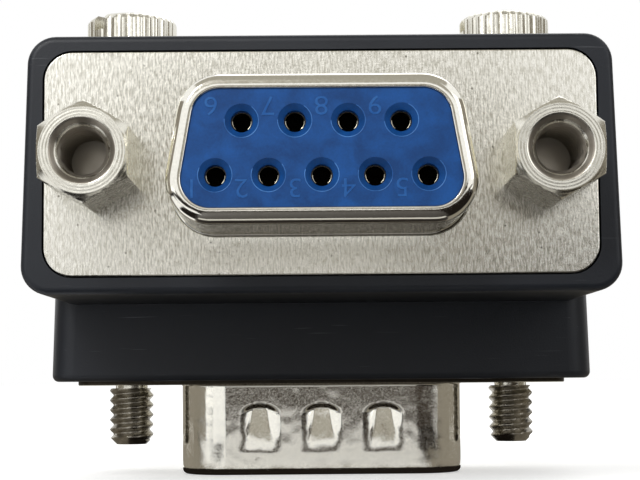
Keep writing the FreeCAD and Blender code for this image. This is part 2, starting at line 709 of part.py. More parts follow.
def draw_hexagon(sketch, flats, across="0", up="0"):
    """A hexagon with two corners on the sketch's upright axis."""
    half = "(%s) / 2" % flats
    corner = "(%s) / sqrt(3)" % flats
    corners = []
    for sideways, along in (("0", "1"), ("1", "0.5"), ("1", "-0.5"), ("0", "-1"), ("-1", "-0.5"), ("-1", "0.5")):
        corners.append(("%s + (%s) * (%s)" % (across, sideways, half),
                        "%s + (%s) * (%s)" % (up, along, corner)))
    draw_polygon(sketch, corners)


def standoff(side, across):
    """A hexagonal post with a threaded mouth in front and a threaded stud behind."""
    body = new_body("standoff_" + side)
    hexagon = new_sketch(body, "post_hexagon_" + side, "XY_Plane")
    draw_hexagon(hexagon, "hex_flats")
    pad(body, hexagon, "standoff_length")
    stud = new_sketch(body, "post_stud_" + side, "XY_Plane")
    draw_circle(stud, "thread_major")
    pad(body, stud, "stud_length", backwards=True)
    chamfer = new_sketch(body, "post_chamfer_" + side, "XZ_Plane")
    beyond = "hex_flats"
    draw_polygon(chamfer, [
        ("standoff_face / 2", "standoff_length"),
        (beyond, "standoff_length"),
        (beyond, "standoff_length - (%s - standoff_face / 2) * tan(hex_slope)" % beyond),
    ])
    turn_off(body, chamfer)
    bore = new_sketch(body, "post_bore_" + side, "XY_Plane", "standoff_length")
    draw_circle(bore, "thread_minor")
    pocket(body, bore, "standoff_bore_depth")
    length = value_of("standoff_length")
    mouth = value_of("thread_minor") * 1.01
    dress(body, "Chamfer", "post_mouth_" + side,
          lambda edge: lies_at(edge, "Z", length) and edge.BoundBox.XLength < mouth, "standoff_chamfer")
    end = value_of("stud_length")
    dress(body, "Chamfer", "post_stud_end_" + side, lambda edge: lies_at(edge, "Z", -end), "thread_chamfer")
    place_on_socket(body, across)
    return body


def standoff_nut(side, across):
    """A plain hexagon nut on the stud, behind the socket's two flanges."""
    body = new_body("standoff_nut_" + side)
    hexagon = new_sketch(body, "nut_hexagon_" + side, "XY_Plane", "-flange_stack")
    draw_hexagon(hexagon, "hex_flats")
    draw_circle(hexagon, "nut_bore")
    pad(body, hexagon, "nut_thickness", backwards=True)
    place_on_socket(body, across)
    return body


# Thumbscrews

def thumbscrew(side, across):
    """A long screw: fluted, slotted head, thin shank through the housing, thread at its far end."""
    body = new_body("thumbscrew_" + side)
    profile = new_sketch(body, "screw_profile_" + side, "XZ_Plane")
    foot = "head_size / 2 - flute_depth"
    draw_polygon(profile, [
        ("0", "-thread_reach"),
        ("thread_major / 2 - thread_chamfer", "-thread_reach"),
        ("thread_major / 2", "thread_chamfer - thread_reach"),
        ("thread_major / 2", "-thread_start"),
        ("shank_size / 2", "-thread_start"),
        ("shank_size / 2", "head_base"),
        (foot, "head_base"),
        (foot, "head_base + head_foot"),
        ("head_size / 2", "head_base + head_foot"),
        ("head_size / 2", "head_top - head_chamfer"),
        ("head_size / 2 - head_chamfer", "head_top"),
        ("0", "head_top"),
    ])
    revolve(body, profile)
    flute = new_sketch(body, "screw_flute_" + side, "XY_Plane", "head_top")
    half = "tan(90 / flute_count) * head_size / 2"
    draw_polygon(flute, [
        ("head_size / 2 - flute_depth", "0"),
        ("head_size / 2 + flute_depth", "2 * (%s)" % half),
        ("head_size / 2 + flute_depth", "-2 * (%s)" % half),
    ])
    cut = pocket(body, flute, "head_length - head_foot")
    ring = body.newObject("PartDesign::PolarPattern", "screw_flutes_" + side)
    ring.Originals = [cut]
    ring.Axis = (flute, ["N_Axis"])
    ring.Angle = 360
    ring.setExpression("Occurrences", bound("flute_count"))
    body.Tip = ring
    doc.recompute()
    slot = new_sketch(body, "screw_slot_" + side, "XY_Plane", "head_top", turn="slot_turn_" + side)
    reach = "head_size"
    draw_polygon(slot, [
        ("-(%s)" % reach, "-slot_width / 2"),
        (reach, "-slot_width / 2"),
        (reach, "slot_width / 2"),
        ("-(%s)" % reach, "slot_width / 2"),
    ])
    pocket(body, slot, "slot_depth")
    body.setExpression("Placement.Base.x", bound(across))
    return body


# Housing

def housing():
    """One moulding: a front block for the socket and a lower block for the plug, hollow inside."""
    body = new_body("housing")
    front = new_sketch(body, "housing_front", "XZ_Plane", "socket_reach")
    top = "housing_width_top / 2"
    base = "housing_width_base / 2"
    draw_polygon(front, [
        ("-(%s)" % base, "plug_proud"),
        (base, "plug_proud"),
        (top, "housing_top"),
        ("-(%s)" % top, "housing_top"),
    ])
    pad(body, front, "housing_length", backwards=True)
    ledge = new_sketch(body, "housing_ledge", "YZ_Plane", "-housing_width_base")
    draw_polygon(ledge, [
        ("-2 * socket_reach", "-socket_height"),
        ("-block_half_depth", "-socket_height"),
        ("-block_half_depth", "ledge_level"),
        ("-2 * socket_reach", "ledge_level"),
    ])
    pocket(body, ledge, "2 * housing_width_base", along_normal=True)

    front_y = -value_of("socket_reach")
    block_y = -value_of("block_half_depth")
    rear_y = value_of("block_half_depth")
    top_z = value_of("housing_top")
    ledge_z = value_of("ledge_level")
    base_z = value_of("plug_proud")

    def long_edge(edge):
        lengthwise = edge.BoundBox.YLength > rear_y and edge.BoundBox.ZLength < TOUCH
        upright_rear = lies_at(edge, "Y", rear_y) and edge.BoundBox.ZLength > ledge_z
        return (lengthwise and edge.BoundBox.ZMin > ledge_z - TOUCH) or upright_rear

    dress(body, "Fillet", "housing_long_edges", long_edge, "housing_corner")

    def block_edge(edge):
        middle = edge.CenterOfMass
        upright = lies_at(edge, "Y", block_y) and edge.BoundBox.ZLength > edge.BoundBox.XLength
        return upright and middle.z < ledge_z

    dress(body, "Fillet", "housing_block_edges", block_edge, "block_corner")

    def small_edge(edge):
        top_rear = lies_at(edge, "Z", top_z) and edge.CenterOfMass.y > 0
        return top_rear or lies_at(edge, "Y", front_y) or lies_at(edge, "Z", base_z)

    dress(body, "Fillet", "housing_small_edges", small_edge, "housing_edge")

    seat = new_sketch(body, "socket_seat", "XZ_Plane", "socket_reach", "0", "socket_height")
    draw_rounded(seat, "seat_width", "seat_height", "seat_corner")
    pocket(body, seat, "flange_stack")
    cavity = new_sketch(body, "socket_cavity", "XZ_Plane", "socket_reach", "0", "socket_height")
    draw_rounded(cavity, "cavity_width", "cavity_depth", "housing_wall")
    pocket(body, cavity, "cavity_length")
    plug_seat = new_sketch(body, "plug_seat", "XY_Plane", "plug_proud")
    draw_rounded(plug_seat, "seat_width", "seat_height", "seat_corner")
    pocket(body, plug_seat, "plug_seat_depth", along_normal=True)
    plug_cavity = new_sketch(body, "plug_cavity", "XY_Plane", "plug_proud")
    draw_rounded(plug_cavity, "cavity_width", "cavity_depth", "housing_wall")
    pocket(body, plug_cavity, "cavity_rise", along_normal=True)
    shanks = new_sketch(body, "shank_bores", "XY_Plane", "plug_proud")
    draw_screw_holes(shanks, "shank_bore")
    pocket(body, shanks, "2 * housing_top", along_normal=True)
    threads = new_sketch(body, "thread_bores", "XY_Plane", "plug_proud")
    draw_screw_holes(threads, "thread_bore")
    pocket(body, threads, "thread_room_depth", along_normal=True)
    studs = new_sketch(body, "stud_bores", "XZ_Plane", "socket_reach", "0", "socket_height")
    draw_screw_holes(studs, "stud_room")
    pocket(body, studs, "stud_pocket_depth")
    nuts = new_sketch(body, "nut_pockets", "XZ_Plane", "socket_reach", "0", "socket_height")
    for _, across in SIDES:
        draw_hexagon(nuts, "nut_pocket_flats", across)
    pocket(body, nuts, "nut_pocket_depth")
    return body


# The whole adapter

pieces = [
    housing(),
    socket_shell(),
    rear_shell("socket_rear_shell", place_on_socket, SOCKET_LONG_SIDE),
    socket_insulator(),
    rear_insulator("socket_insulator_rear", place_on_socket, SOCKET_LONG_SIDE),
    plug_shell(),
    rear_shell("plug_rear_shell", place_on_plug, PLUG_LONG_SIDE),
    plug_insulator(),
    rear_insulator("plug_insulator_rear", place_on_plug, PLUG_LONG_SIDE),
]
for number in (*ROW_OF_FIVE, *ROW_OF_FOUR):
    pieces.append(socket_contact(number))
    pieces.append(link_wire(number))
    pieces.append(plug_pin(number))
for side, across in SIDES:
    pieces.append(standoff(side, across))
    pieces.append(standoff_nut(side, across))
    pieces.append(thumbscrew(side, across))
doc.recompute()

# Every object has to have come out whole before anything is written

for item in doc.Objects:
    if "Invalid" in item.State or "Error" in item.State:
        raise RuntimeError("%s failed: %s" % (item.Name, item.State))
for piece in pieces:
    shape = piece.Shape
    if shape.isNull() or not shape.isValid() or len(shape.Solids) != 1:
        raise RuntimeError("%s is not one valid solid" % piece.Label)

os.makedirs("parts", exist_ok=True)
for piece in pieces:
    piece.Shape.exportStep("parts/%s.step" % piece.Label)
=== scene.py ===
import math
import bmesh
import bpy
from mathutils import Matrix, Vector


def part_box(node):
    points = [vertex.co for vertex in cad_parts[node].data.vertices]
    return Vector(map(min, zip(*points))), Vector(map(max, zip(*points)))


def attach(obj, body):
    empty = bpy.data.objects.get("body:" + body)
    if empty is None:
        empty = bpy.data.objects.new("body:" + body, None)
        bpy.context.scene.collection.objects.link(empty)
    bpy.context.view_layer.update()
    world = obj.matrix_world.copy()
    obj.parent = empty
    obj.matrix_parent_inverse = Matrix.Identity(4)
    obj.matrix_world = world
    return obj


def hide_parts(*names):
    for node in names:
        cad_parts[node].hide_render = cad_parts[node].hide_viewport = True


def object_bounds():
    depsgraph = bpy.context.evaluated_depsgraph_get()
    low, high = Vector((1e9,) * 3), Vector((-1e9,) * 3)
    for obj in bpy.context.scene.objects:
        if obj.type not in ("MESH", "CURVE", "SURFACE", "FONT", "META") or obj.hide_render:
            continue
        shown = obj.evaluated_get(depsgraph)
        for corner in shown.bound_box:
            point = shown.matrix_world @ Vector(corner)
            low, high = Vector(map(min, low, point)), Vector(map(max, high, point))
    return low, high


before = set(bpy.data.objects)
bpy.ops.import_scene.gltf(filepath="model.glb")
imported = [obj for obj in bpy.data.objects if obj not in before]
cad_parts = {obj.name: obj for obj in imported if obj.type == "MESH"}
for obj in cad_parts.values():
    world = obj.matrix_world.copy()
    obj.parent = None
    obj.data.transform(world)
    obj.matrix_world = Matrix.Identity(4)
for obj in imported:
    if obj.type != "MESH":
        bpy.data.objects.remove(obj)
cad_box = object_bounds()

# Camera
#
# The photograph looks at the socket from close in front and a little below, tipped slightly up, so
# the posts and the skirt look larger than the blocks behind them. Lengths are metres, as in the frame.
MM = 0.001
CAMERA_PLACE = Vector((-0.6, -108.8, 0.2)) * MM
CAMERA_YAW = math.radians(-0.32)
CAMERA_PITCH = math.radians(4.9)
CAMERA_ROLL = math.radians(0.48)
FOCAL_LENGTH_PIXELS = 1640
FRAME_WIDTH_PIXELS = 640
SENSOR_WIDTH_MM = 36.0
NEAREST_SEEN = 5 * MM
FARTHEST_SEEN = 20.0

camera_data = bpy.data.cameras.new("camera")
camera_data.sensor_width = SENSOR_WIDTH_MM
camera_data.lens = SENSOR_WIDTH_MM * FOCAL_LENGTH_PIXELS / FRAME_WIDTH_PIXELS
camera_data.clip_start = NEAREST_SEEN
camera_data.clip_end = FARTHEST_SEEN
camera = bpy.data.objects.new("camera", camera_data)
bpy.context.scene.collection.objects.link(camera)
aim = Matrix.Rotation(CAMERA_YAW, 4, "Z") @ Matrix.Rotation(CAMERA_PITCH, 4, "X")
aim = aim @ Matrix.Rotation(CAMERA_ROLL, 4, "Y") @ Matrix.Rotation(math.pi / 2, 4, "X")
camera.matrix_world = Matrix.Translation(CAMERA_PLACE) @ aim
bpy.context.scene.camera = camera
bpy.context.scene.view_settings.view_transform = "Standard"

# Housing
#
# One black moulding carries both connectors. It is ABS from a tool with a fine eroded grain, so it
# has a satin face that greys where it turns to the light, and a few hairline scratches from handling.
HOUSING_BLACK = "#10131a"
HOUSING_WORN_BLACK = "#1b1f26"
HOUSING_SCRATCH_GREY = "#3c3e42"
MOULD_GRAIN_MM = 0.11
SHADE_PATCH_MM = 5.0
SCRATCH_LENGTH_MM = 3.5
SCRATCH_WIDTH_MM = 0.09
SCRATCH_TILT = (0.3, 0.7, 0.5)
SCRATCH_FAINT = 0.735
SCRATCH_FULL = 0.8


def linear(colour):
    """An sRGB hex colour as the linear RGBA that shaders take."""
    parts = [int(colour[start:start + 2], 16) / 255 for start in (1, 3, 5)]
    return (*[part / 12.92 if part <= 0.04045 else ((part + 0.055) / 1.055) ** 2.4 for part in parts], 1.0)


def add_node(material, kind, settings, links=()):
    """Adds one node. Settings name its inputs or its own properties, and a link is (source, input)."""
    node = material.node_tree.nodes.new(kind)
    for name, value in settings.items():
        if isinstance(name, int) or name in node.inputs:
            node.inputs[name].default_value = value
        else:
            setattr(node, name, value)
    for source, name in links:
        material.node_tree.links.new(source, node.inputs[name])
    return node


def new_finish(name, settings):
    """A material whose one shader takes the given settings, and a place in millimetres for its patterns."""
    material = bpy.data.materials.new(name)
    material.use_nodes = True
    material.node_tree.nodes.clear()
    shader = add_node(material, "ShaderNodeBsdfPrincipled", settings)
    add_node(material, "ShaderNodeOutputMaterial", {}, [(shader.outputs["BSDF"], "Surface")])
    place = add_node(material, "ShaderNodeTexCoord", {})
    millimetres = add_node(material, "ShaderNodeMapping", {"Scale": (1 / MM, 1 / MM, 1 / MM)},
                           [(place.outputs["Object"], "Vector")])
    return material, shader, millimetres.outputs["Vector"]


def moulded_black_abs():
    """Satin black: eroded grain breaks the highlight up, and broad patches and hairlines show handling."""
    material, shader, place = new_finish("moulded_black_abs", {"IOR": 1.5, "Specular IOR Level": 0.38})
    links = material.node_tree.links
    patches = add_node(material, "ShaderNodeTexNoise", {"Scale": 1 / SHADE_PATCH_MM, "Detail": 4.0},
                       [(place, "Vector")])
    shade = add_node(material, "ShaderNodeMix", {"data_type": "RGBA", "A": linear(HOUSING_BLACK),
                     "B": linear(HOUSING_WORN_BLACK)}, [(patches.outputs["Fac"], "Factor")])
    tilted = add_node(material, "ShaderNodeMapping", {"Rotation": SCRATCH_TILT,
                      "Scale": (1 / SCRATCH_LENGTH_MM, 1 / SCRATCH_WIDTH_MM, 1 / SCRATCH_WIDTH_MM)},
                      [(place, "Vector")])
    strokes = add_node(material, "ShaderNodeTexNoise", {"Scale": 1.0, "Detail": 1.0},
                       [(tilted.outputs["Vector"], "Vector")])
    scratches = add_node(material, "ShaderNodeMapRange",
                         {"From Min": SCRATCH_FAINT, "From Max": SCRATCH_FULL},
                         [(strokes.outputs["Fac"], "Value")])
    scratched = add_node(material, "ShaderNodeMix",
                         {"data_type": "RGBA", "B": linear(HOUSING_SCRATCH_GREY)},
                         [(scratches.outputs["Result"], "Factor"), (shade.outputs["Result"], "A")])
    links.new(scratched.outputs["Result"], shader.inputs["Base Color"])
    grain = add_node(material, "ShaderNodeTexNoise", {"Scale": 1 / MOULD_GRAIN_MM, "Detail": 3.0},
                     [(place, "Vector")])
    gloss = add_node(material, "ShaderNodeMapRange", {"To Min": 0.34, "To Max": 0.5},
                     [(patches.outputs["Fac"], "Value")])
    links.new(gloss.outputs["Result"], shader.inputs["Roughness"])
    bump = add_node(material, "ShaderNodeBump", {"Strength": 0.35, "Distance": 0.02 * MM},
                    [(grain.outputs["Fac"], "Height")])
    links.new(bump.outputs["Normal"], shader.inputs["Normal"])
    return material


def finish_nodes(material, *names):
    """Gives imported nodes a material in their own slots."""
    for name in names:
        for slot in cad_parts[name].material_slots:
            slot.material = material


finish_nodes(moulded_black_abs(), "housing")

# Socket shell
#
# The socket's flange and skirt are drawn from one steel sheet and nickel plated. Rolling leaves a fine
# upright grain in the flange, and the drawn skirt and its rolled lip come out smoother and brighter.
FLANGE_WIDTH = 30.69 * MM
FLANGE_HEIGHT = 12.5 * MM
FLANGE_CORNER = 1.6 * MM
SHEET_THICKNESS = 0.5 * MM
SHEET_EDGE = 0.08 * MM
SCREW_OFFSET = 12.495 * MM
FLANGE_HOLE_RADIUS = 1.525 * MM
SKIRT_WALL = 0.45 * MM
SKIRT_LEAN = math.radians(10)
ROOT_RADIUS = 0.12 * MM
SOCKET_WIDTH = 16.33 * MM
SOCKET_DEPTH = 7.9 * MM
SOCKET_CORNER = 2.35 * MM
SOCKET_STANDOUT = 5.9 * MM
LIP_WIDTH = 0.84 * MM
LIP_THICKNESS = 0.45 * MM
LIP_RADIUS = 0.66 * MM
LIP_INNER_RADIUS = 0.08 * MM
SOCKET_FACE_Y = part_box("socket_shell")[1].y - SHEET_THICKNESS
SOCKET_AXIS_Z = (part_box("socket_shell")[0].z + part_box("socket_shell")[1].z) / 2
NICKEL = "#fffdf4"
NICKEL_SHADE = "#e8e5da"
ROLLED_SHADE = "#d3d0c3"
PLATING_SPECK = "#6f695b"
SHEARED_SHADE_DARK = "#2e2a25"
SHEARED_SHADE_PALE = "#4c463d"
ROLLING_GRAIN_MM = (0.1, 0.1, 0.5)
FINE_GRAIN_MM = 0.12
SPECK_SPACING_MM = 1.1
SPECK_EDGE_SHARE = 0.07
SPECK_CORE_SHARE = 0.03
DRAWN_WAVE_MM = 2.2
DRAWN_GRAIN_MM = 0.14
SOCKET_SWELL = 0.03 * MM
SOCKET_HAZE = (0.07, 0.15)
TEAR_MM = 0.15
OUTLINE_STEP = 0.12 * MM
RIM_TILT = 0.3


def on_socket(across, up, out):
    """A place on the socket, measured across, up and out from the middle of its flange face."""
    return Vector((across, SOCKET_FACE_Y - out, SOCKET_AXIS_Z + up))


def skirt_outline(width, depth, corner, spacing):
    """Points round a D with its long side down, each with its outward normal."""
    wide = width / 2 - corner
    rise = depth / 2 - corner
    narrow = wide - 2 * rise * math.tan(SKIRT_LEAN)
    centres = [Vector(spot) for spot in ((wide, -rise), (narrow, rise), (-narrow, rise), (-wide, -rise))]
    turns = [-math.pi / 2, SKIRT_LEAN, math.pi / 2, math.pi - SKIRT_LEAN, 1.5 * math.pi]
    outline = []
    for index, centre in enumerate(centres):
        start, end = turns[index], turns[index + 1]
        steps = math.ceil((end - start) * corner / spacing)
        for step in range(steps + 1):
            angle = start + (end - start) * step / steps
            normal = Vector((math.cos(angle), math.sin(angle)))
            outline.append((centre + normal * corner, normal))
        first = centre + normal * corner
        last = centres[(index + 1) % 4] + normal * corner
        count = math.ceil((last - first).length / spacing)
        for step in range(1, count):
            outline.append((first.lerp(last, step / count), normal))
    return outline


def arc(inset, height, radius, start, end, steps=6):
    """Points of a section's round corner, its angles in degrees."""
    angles = [math.radians(start + (end - start) * step / steps) for step in range(steps + 1)]
    return [(inset + radius * math.cos(angle), height + radius * math.sin(angle)) for angle in angles]


def loft_skirt(shape, outline, section, place, dent=None):
    """Sweeps a closed section, given as (inset, height), round an outline."""
    rings = []
    for inset, height in section:
        ring = []
        for point, normal in outline:
            depth = dent(point, normal, height) if dent else 0.0
            spot = point - normal * (inset + depth)
            ring.append(shape.verts.new(place(spot.x, spot.y, height)))
        rings.append(ring)
    for row, ring in enumerate(rings):
        following = rings[(row + 1) % len(rings)]
        for column in range(len(ring)):
            right = (column + 1) % len(ring)
            shape.faces.new((ring[column], ring[right], following[right], following[column]))


def circle_points(across, radius, steps=72):
    """Points of a round hole's outline."""
    return [Vector((across + radius * math.cos(math.tau * step / steps),
                    radius * math.sin(math.tau * step / steps))) for step in range(steps)]


def rounded_points(width, height, corner, steps=14):
    """Points of a rectangle with round corners."""
    points = []
    for index, (side, rise) in enumerate(((1, -1), (1, 1), (-1, 1), (-1, -1))):
        centre = Vector((side * (width / 2 - corner), rise * (height / 2 - corner)))
        for step in range(steps + 1):
            angle = math.radians(90 * (index - 1 + step / steps))
            points.append(centre + corner * Vector((math.cos(angle), math.sin(angle))))
    return points


def cut_plate(shape, outlines, thickness, edge, place):
    """A flat plate with its front face at height 0. The first outline is its rim and the rest are holes."""
    curve = bpy.data.curves.new("plate_outline", "CURVE")
    curve.dimensions = "2D"
    curve.fill_mode = "BOTH"
    curve.extrude = thickness / 2 - edge
    curve.bevel_depth = edge
    curve.bevel_resolution = 2
    curve.offset = -edge
    for outline in outlines:
        spline = curve.splines.new("POLY")
        spline.points.add(len(outline) - 1)
        spline.use_cyclic_u = True
        for point, spot in zip(spline.points, outline):
            point.co = (spot.x, spot.y, 0, 1)
    drawing = bpy.data.objects.new("plate_drawing", curve)
    bpy.context.scene.collection.objects.link(drawing)
    bpy.context.view_layer.update()
    plate = bpy.data.meshes.new_from_object(drawing.evaluated_get(bpy.context.evaluated_depsgraph_get()))
    for vertex in plate.vertices:
        vertex.co = place(vertex.co.x, vertex.co.y, vertex.co.z - thickness / 2)
    shape.from_mesh(plate)
    bpy.data.objects.remove(drawing)
    bpy.data.curves.remove(curve)
    bpy.data.meshes.remove(plate)


def new_piece(name, shape, material, sharp_angle=35):
    """A piece from finished geometry, smooth but for its edges."""
    bmesh.ops.recalc_face_normals(shape, faces=shape.faces)
    mesh = bpy.data.meshes.new(name)
    shape.to_mesh(mesh)
    shape.free()
    mesh.shade_smooth()
    mesh.set_sharp_from_angle(angle=math.radians(sharp_angle))
    mesh.materials.append(material)
    piece = bpy.data.objects.new(name, mesh)
    bpy.context.scene.collection.objects.link(piece)
    return piece


def flange_outlines(skirt_points):
    """A flange's rim, its two screw holes and the opening that the skirt's root fills."""
    root = [point + normal * ROOT_RADIUS for point, normal in skirt_points]
    holes = [circle_points(side * SCREW_OFFSET, FLANGE_HOLE_RADIUS) for side in (-1, 1)]
    return [rounded_points(FLANGE_WIDTH, FLANGE_HEIGHT, FLANGE_CORNER), *holes, root]


def rolled_nickel_plate():
    """Satin nickel: rolling grain stretches the highlight, and pinholes show as small dark specks."""
    material, shader, place = new_finish("rolled_nickel_plate", {"Metallic": 1.0})
    links = material.node_tree.links
    grain_scale = tuple(1 / size for size in ROLLING_GRAIN_MM)
    stretched = add_node(material, "ShaderNodeMapping", {"Scale": grain_scale}, [(place, "Vector")])
    streaks = add_node(material, "ShaderNodeTexNoise", {"Scale": 1.0, "Detail": 2.0, "Roughness": 0.6},
                       [(stretched.outputs["Vector"], "Vector")])
    shade = add_node(material, "ShaderNodeMapRange", {"From Min": 0.36, "From Max": 0.6},
                     [(streaks.outputs["Fac"], "Value")])
    tone = add_node(material, "ShaderNodeMix", {"data_type": "RGBA", "A": linear(ROLLED_SHADE),
                    "B": linear(NICKEL)}, [(shade.outputs["Result"], "Factor")])
    cells = add_node(material, "ShaderNodeTexVoronoi", {"Scale": 1 / SPECK_SPACING_MM}, [(place, "Vector")])
    specks = add_node(material, "ShaderNodeMapRange", {"From Min": SPECK_EDGE_SHARE,
                      "From Max": SPECK_CORE_SHARE}, [(cells.outputs["Distance"], "Value")])
    speckled = add_node(material, "ShaderNodeMix", {"data_type": "RGBA", "B": linear(PLATING_SPECK)},
                        [(specks.outputs["Result"], "Factor"), (tone.outputs["Result"], "A")])
    links.new(speckled.outputs["Result"], shader.inputs["Base Color"])
    gloss = add_node(material, "ShaderNodeMapRange",
                     {"From Min": 0.35, "From Max": 0.65, "To Min": 0.18, "To Max": 0.26},
                     [(streaks.outputs["Fac"], "Value")])
    links.new(gloss.outputs["Result"], shader.inputs["Roughness"])
    fine = add_node(material, "ShaderNodeTexNoise", {"Scale": 1 / FINE_GRAIN_MM, "Detail": 2.0},
                    [(place, "Vector")])
    coarse_bump = add_node(material, "ShaderNodeBump", {"Strength": 0.14, "Distance": 0.01 * MM},
                           [(streaks.outputs["Fac"], "Height")])
    bump = add_node(material, "ShaderNodeBump", {"Strength": 0.5, "Distance": 0.012 * MM},
                    [(fine.outputs["Fac"], "Height"), (coarse_bump.outputs["Normal"], "Normal")])
    links.new(bump.outputs["Normal"], shader.inputs["Normal"])
    return material


def drawn_bright_nickel(name, swell, haze_range):
    """Bright nickel over drawn steel: a mirror that drawing left wavy by the swell, and a little hazed."""
    material, shader, place = new_finish(name, {"Metallic": 1.0})
    links = material.node_tree.links
    waves = add_node(material, "ShaderNodeTexNoise", {"Scale": 1 / DRAWN_WAVE_MM, "Detail": 2.0},
                     [(place, "Vector")])
    haze = add_node(material, "ShaderNodeTexNoise", {"Scale": 1 / DRAWN_GRAIN_MM, "Detail": 3.0},
                    [(place, "Vector")])
    tone = add_node(material, "ShaderNodeMix", {"data_type": "RGBA", "A": linear(NICKEL_SHADE),
                    "B": linear(NICKEL)}, [(haze.outputs["Fac"], "Factor")])
    links.new(tone.outputs["Result"], shader.inputs["Base Color"])
    gloss = add_node(material, "ShaderNodeMapRange",
                     {"From Min": 0.3, "From Max": 0.7, "To Min": haze_range[0], "To Max": haze_range[1]},
                     [(haze.outputs["Fac"], "Value")])
    links.new(gloss.outputs["Result"], shader.inputs["Roughness"])
    wavy = add_node(material, "ShaderNodeBump", {"Strength": 0.5, "Distance": swell},
                    [(waves.outputs["Fac"], "Height")])
    bump = add_node(material, "ShaderNodeBump", {"Strength": 0.2, "Distance": 0.006 * MM},
                    [(haze.outputs["Fac"], "Height"), (wavy.outputs["Normal"], "Normal")])
    links.new(bump.outputs["Normal"], shader.inputs["Normal"])
    return material


def sheared_steel():
    """Bare steel where the press cut the sheet: dull, torn into faint upright marks, and painted dark as
    shade.
    """
    material, shader, place = new_finish("sheared_steel", {"Metallic": 1.0, "Roughness": 0.5})
    tears = add_node(material, "ShaderNodeTexNoise", {"Scale": 1 / TEAR_MM, "Detail": 2.0},
                     [(place, "Vector")])
    tone = add_node(material, "ShaderNodeMix", {"data_type": "RGBA", "A": linear(SHEARED_SHADE_DARK),
                    "B": linear(SHEARED_SHADE_PALE)}, [(tears.outputs["Fac"], "Factor")])
    material.node_tree.links.new(tone.outputs["Result"], shader.inputs["Base Color"])
    return material


def dull_rim(piece, material, facing):
    """Gives a plate's cut edges, which stand at right angles to its face, their own finish."""
    piece.data.materials.append(material)
    for face in piece.data.polygons:
        if abs(face.normal.dot(facing)) < RIM_TILT:
            face.material_index = 1


rolled_nickel = rolled_nickel_plate()
bright_nickel = drawn_bright_nickel("drawn_bright_nickel", SOCKET_SWELL, SOCKET_HAZE)
# The cut edges of both flanges take this dark finish, which is painted shade.
cut_steel_painted_shade = sheared_steel()
socket_points = skirt_outline(SOCKET_WIDTH, SOCKET_DEPTH, SOCKET_CORNER, OUTLINE_STEP)
lip_floor = SOCKET_STANDOUT - LIP_THICKNESS
socket_section = [
    *arc(-ROOT_RADIUS, ROOT_RADIUS, ROOT_RADIUS, -90, 0),
    *arc(LIP_RADIUS, SOCKET_STANDOUT - LIP_RADIUS, LIP_RADIUS, 180, 90),
    *arc(LIP_WIDTH - LIP_INNER_RADIUS, SOCKET_STANDOUT - LIP_INNER_RADIUS, LIP_INNER_RADIUS, 90, 0, 4),
    (LIP_WIDTH, lip_floor),
    (SKIRT_WALL, lip_floor),
    (SKIRT_WALL, -SHEET_THICKNESS),
    (-ROOT_RADIUS, -SHEET_THICKNESS),
]

shape = bmesh.new()
loft_skirt(shape, socket_points, socket_section, on_socket)
socket_skirt = new_piece("socket_skirt", shape, bright_nickel)
shape = bmesh.new()
cut_plate(shape, flange_outlines(socket_points), SHEET_THICKNESS, SHEET_EDGE, on_socket)
socket_flange = new_piece("socket_flange", shape, rolled_nickel)
dull_rim(socket_flange, cut_steel_painted_shade, Vector((0, 1, 0)))
for piece in (socket_skirt, socket_flange):
    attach(piece, "adapter")
    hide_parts("socket_shell")
finish_nodes(rolled_nickel, "socket_rear_shell", "plug_rear_shell")

# Socket insulator
#
# A blue glass-filled moulding closes the socket and carries its nine countersunk holes. It is satin
# with faint flow marks, and each hole's mouth has the thin raised burr that its core pin left. The
# burrs' paler blue is a painted highlight, and each leaves out the top of its mouth, which lies in shade.
INSULATOR_BLUE = "#0d4685"
INSULATOR_DEEP_BLUE = "#0a3568"
BURR_HIGHLIGHT_BLUE = "#4f83c2"
FLOW_MARK_MM = 1.4
FIBRE_MM = 0.12
FIBRE_SHARE = 0.3
PIN_PITCH = 2.77 * MM
ROW_OFFSET = 1.42 * MM
HOLE_MOUTH_RADIUS = 0.89 * MM
FACE_GAP = 0.02 * MM
FACE_SKIN = 0.03 * MM
FACE_EDGE = 0.003 * MM
BURR_RADIUS = 0.022 * MM
BURR_START = 150
BURR_DRIFT = 4
BURR_SWEEP = 240
FACE_OUT = SOCKET_FACE_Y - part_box("socket_insulator")[0].y


def moulded_blue_pbt(name, low, high):
    """Satin blue: glass fibre gives a faint speckle, and the melt's flow leaves soft darker marks."""
    material, shader, place = new_finish(name, {"IOR": 1.5, "Specular IOR Level": 0.25})
    links = material.node_tree.links
    flow = add_node(material, "ShaderNodeTexNoise",
                    {"Scale": 1 / FLOW_MARK_MM, "Detail": 5.0, "Distortion": 0.6}, [(place, "Vector")])
    fibre = add_node(material, "ShaderNodeTexNoise", {"Scale": 1 / FIBRE_MM, "Detail": 2.0},
                     [(place, "Vector")])
    mixed = add_node(material, "ShaderNodeMath", {"operation": "MULTIPLY_ADD", 1: FIBRE_SHARE},
                     [(fibre.outputs["Fac"], 0), (flow.outputs["Fac"], 2)])
    spread = add_node(material, "ShaderNodeMapRange", {"From Min": 0.45, "From Max": 0.85},
                      [(mixed.outputs["Value"], "Value")])
    tone = add_node(material, "ShaderNodeMix", {"data_type": "RGBA", "A": linear(low), "B": linear(high)},
                    [(spread.outputs["Result"], "Factor")])
    links.new(tone.outputs["Result"], shader.inputs["Base Color"])
    gloss = add_node(material, "ShaderNodeMapRange", {"To Min": 0.34, "To Max": 0.5},
                     [(flow.outputs["Fac"], "Value")])
    links.new(gloss.outputs["Result"], shader.inputs["Roughness"])
    bump = add_node(material, "ShaderNodeBump", {"Strength": 0.25, "Distance": 0.008 * MM},
                    [(fibre.outputs["Fac"], "Height")])
    links.new(bump.outputs["Normal"], shader.inputs["Normal"])
    return material


def contact_place(number):
    """Where a contact stands across the connector, and above or below its middle."""
    if number <= 5:
        return (number - 3) * PIN_PITCH, -ROW_OFFSET
    return (number - 7.5) * PIN_PITCH, ROW_OFFSET


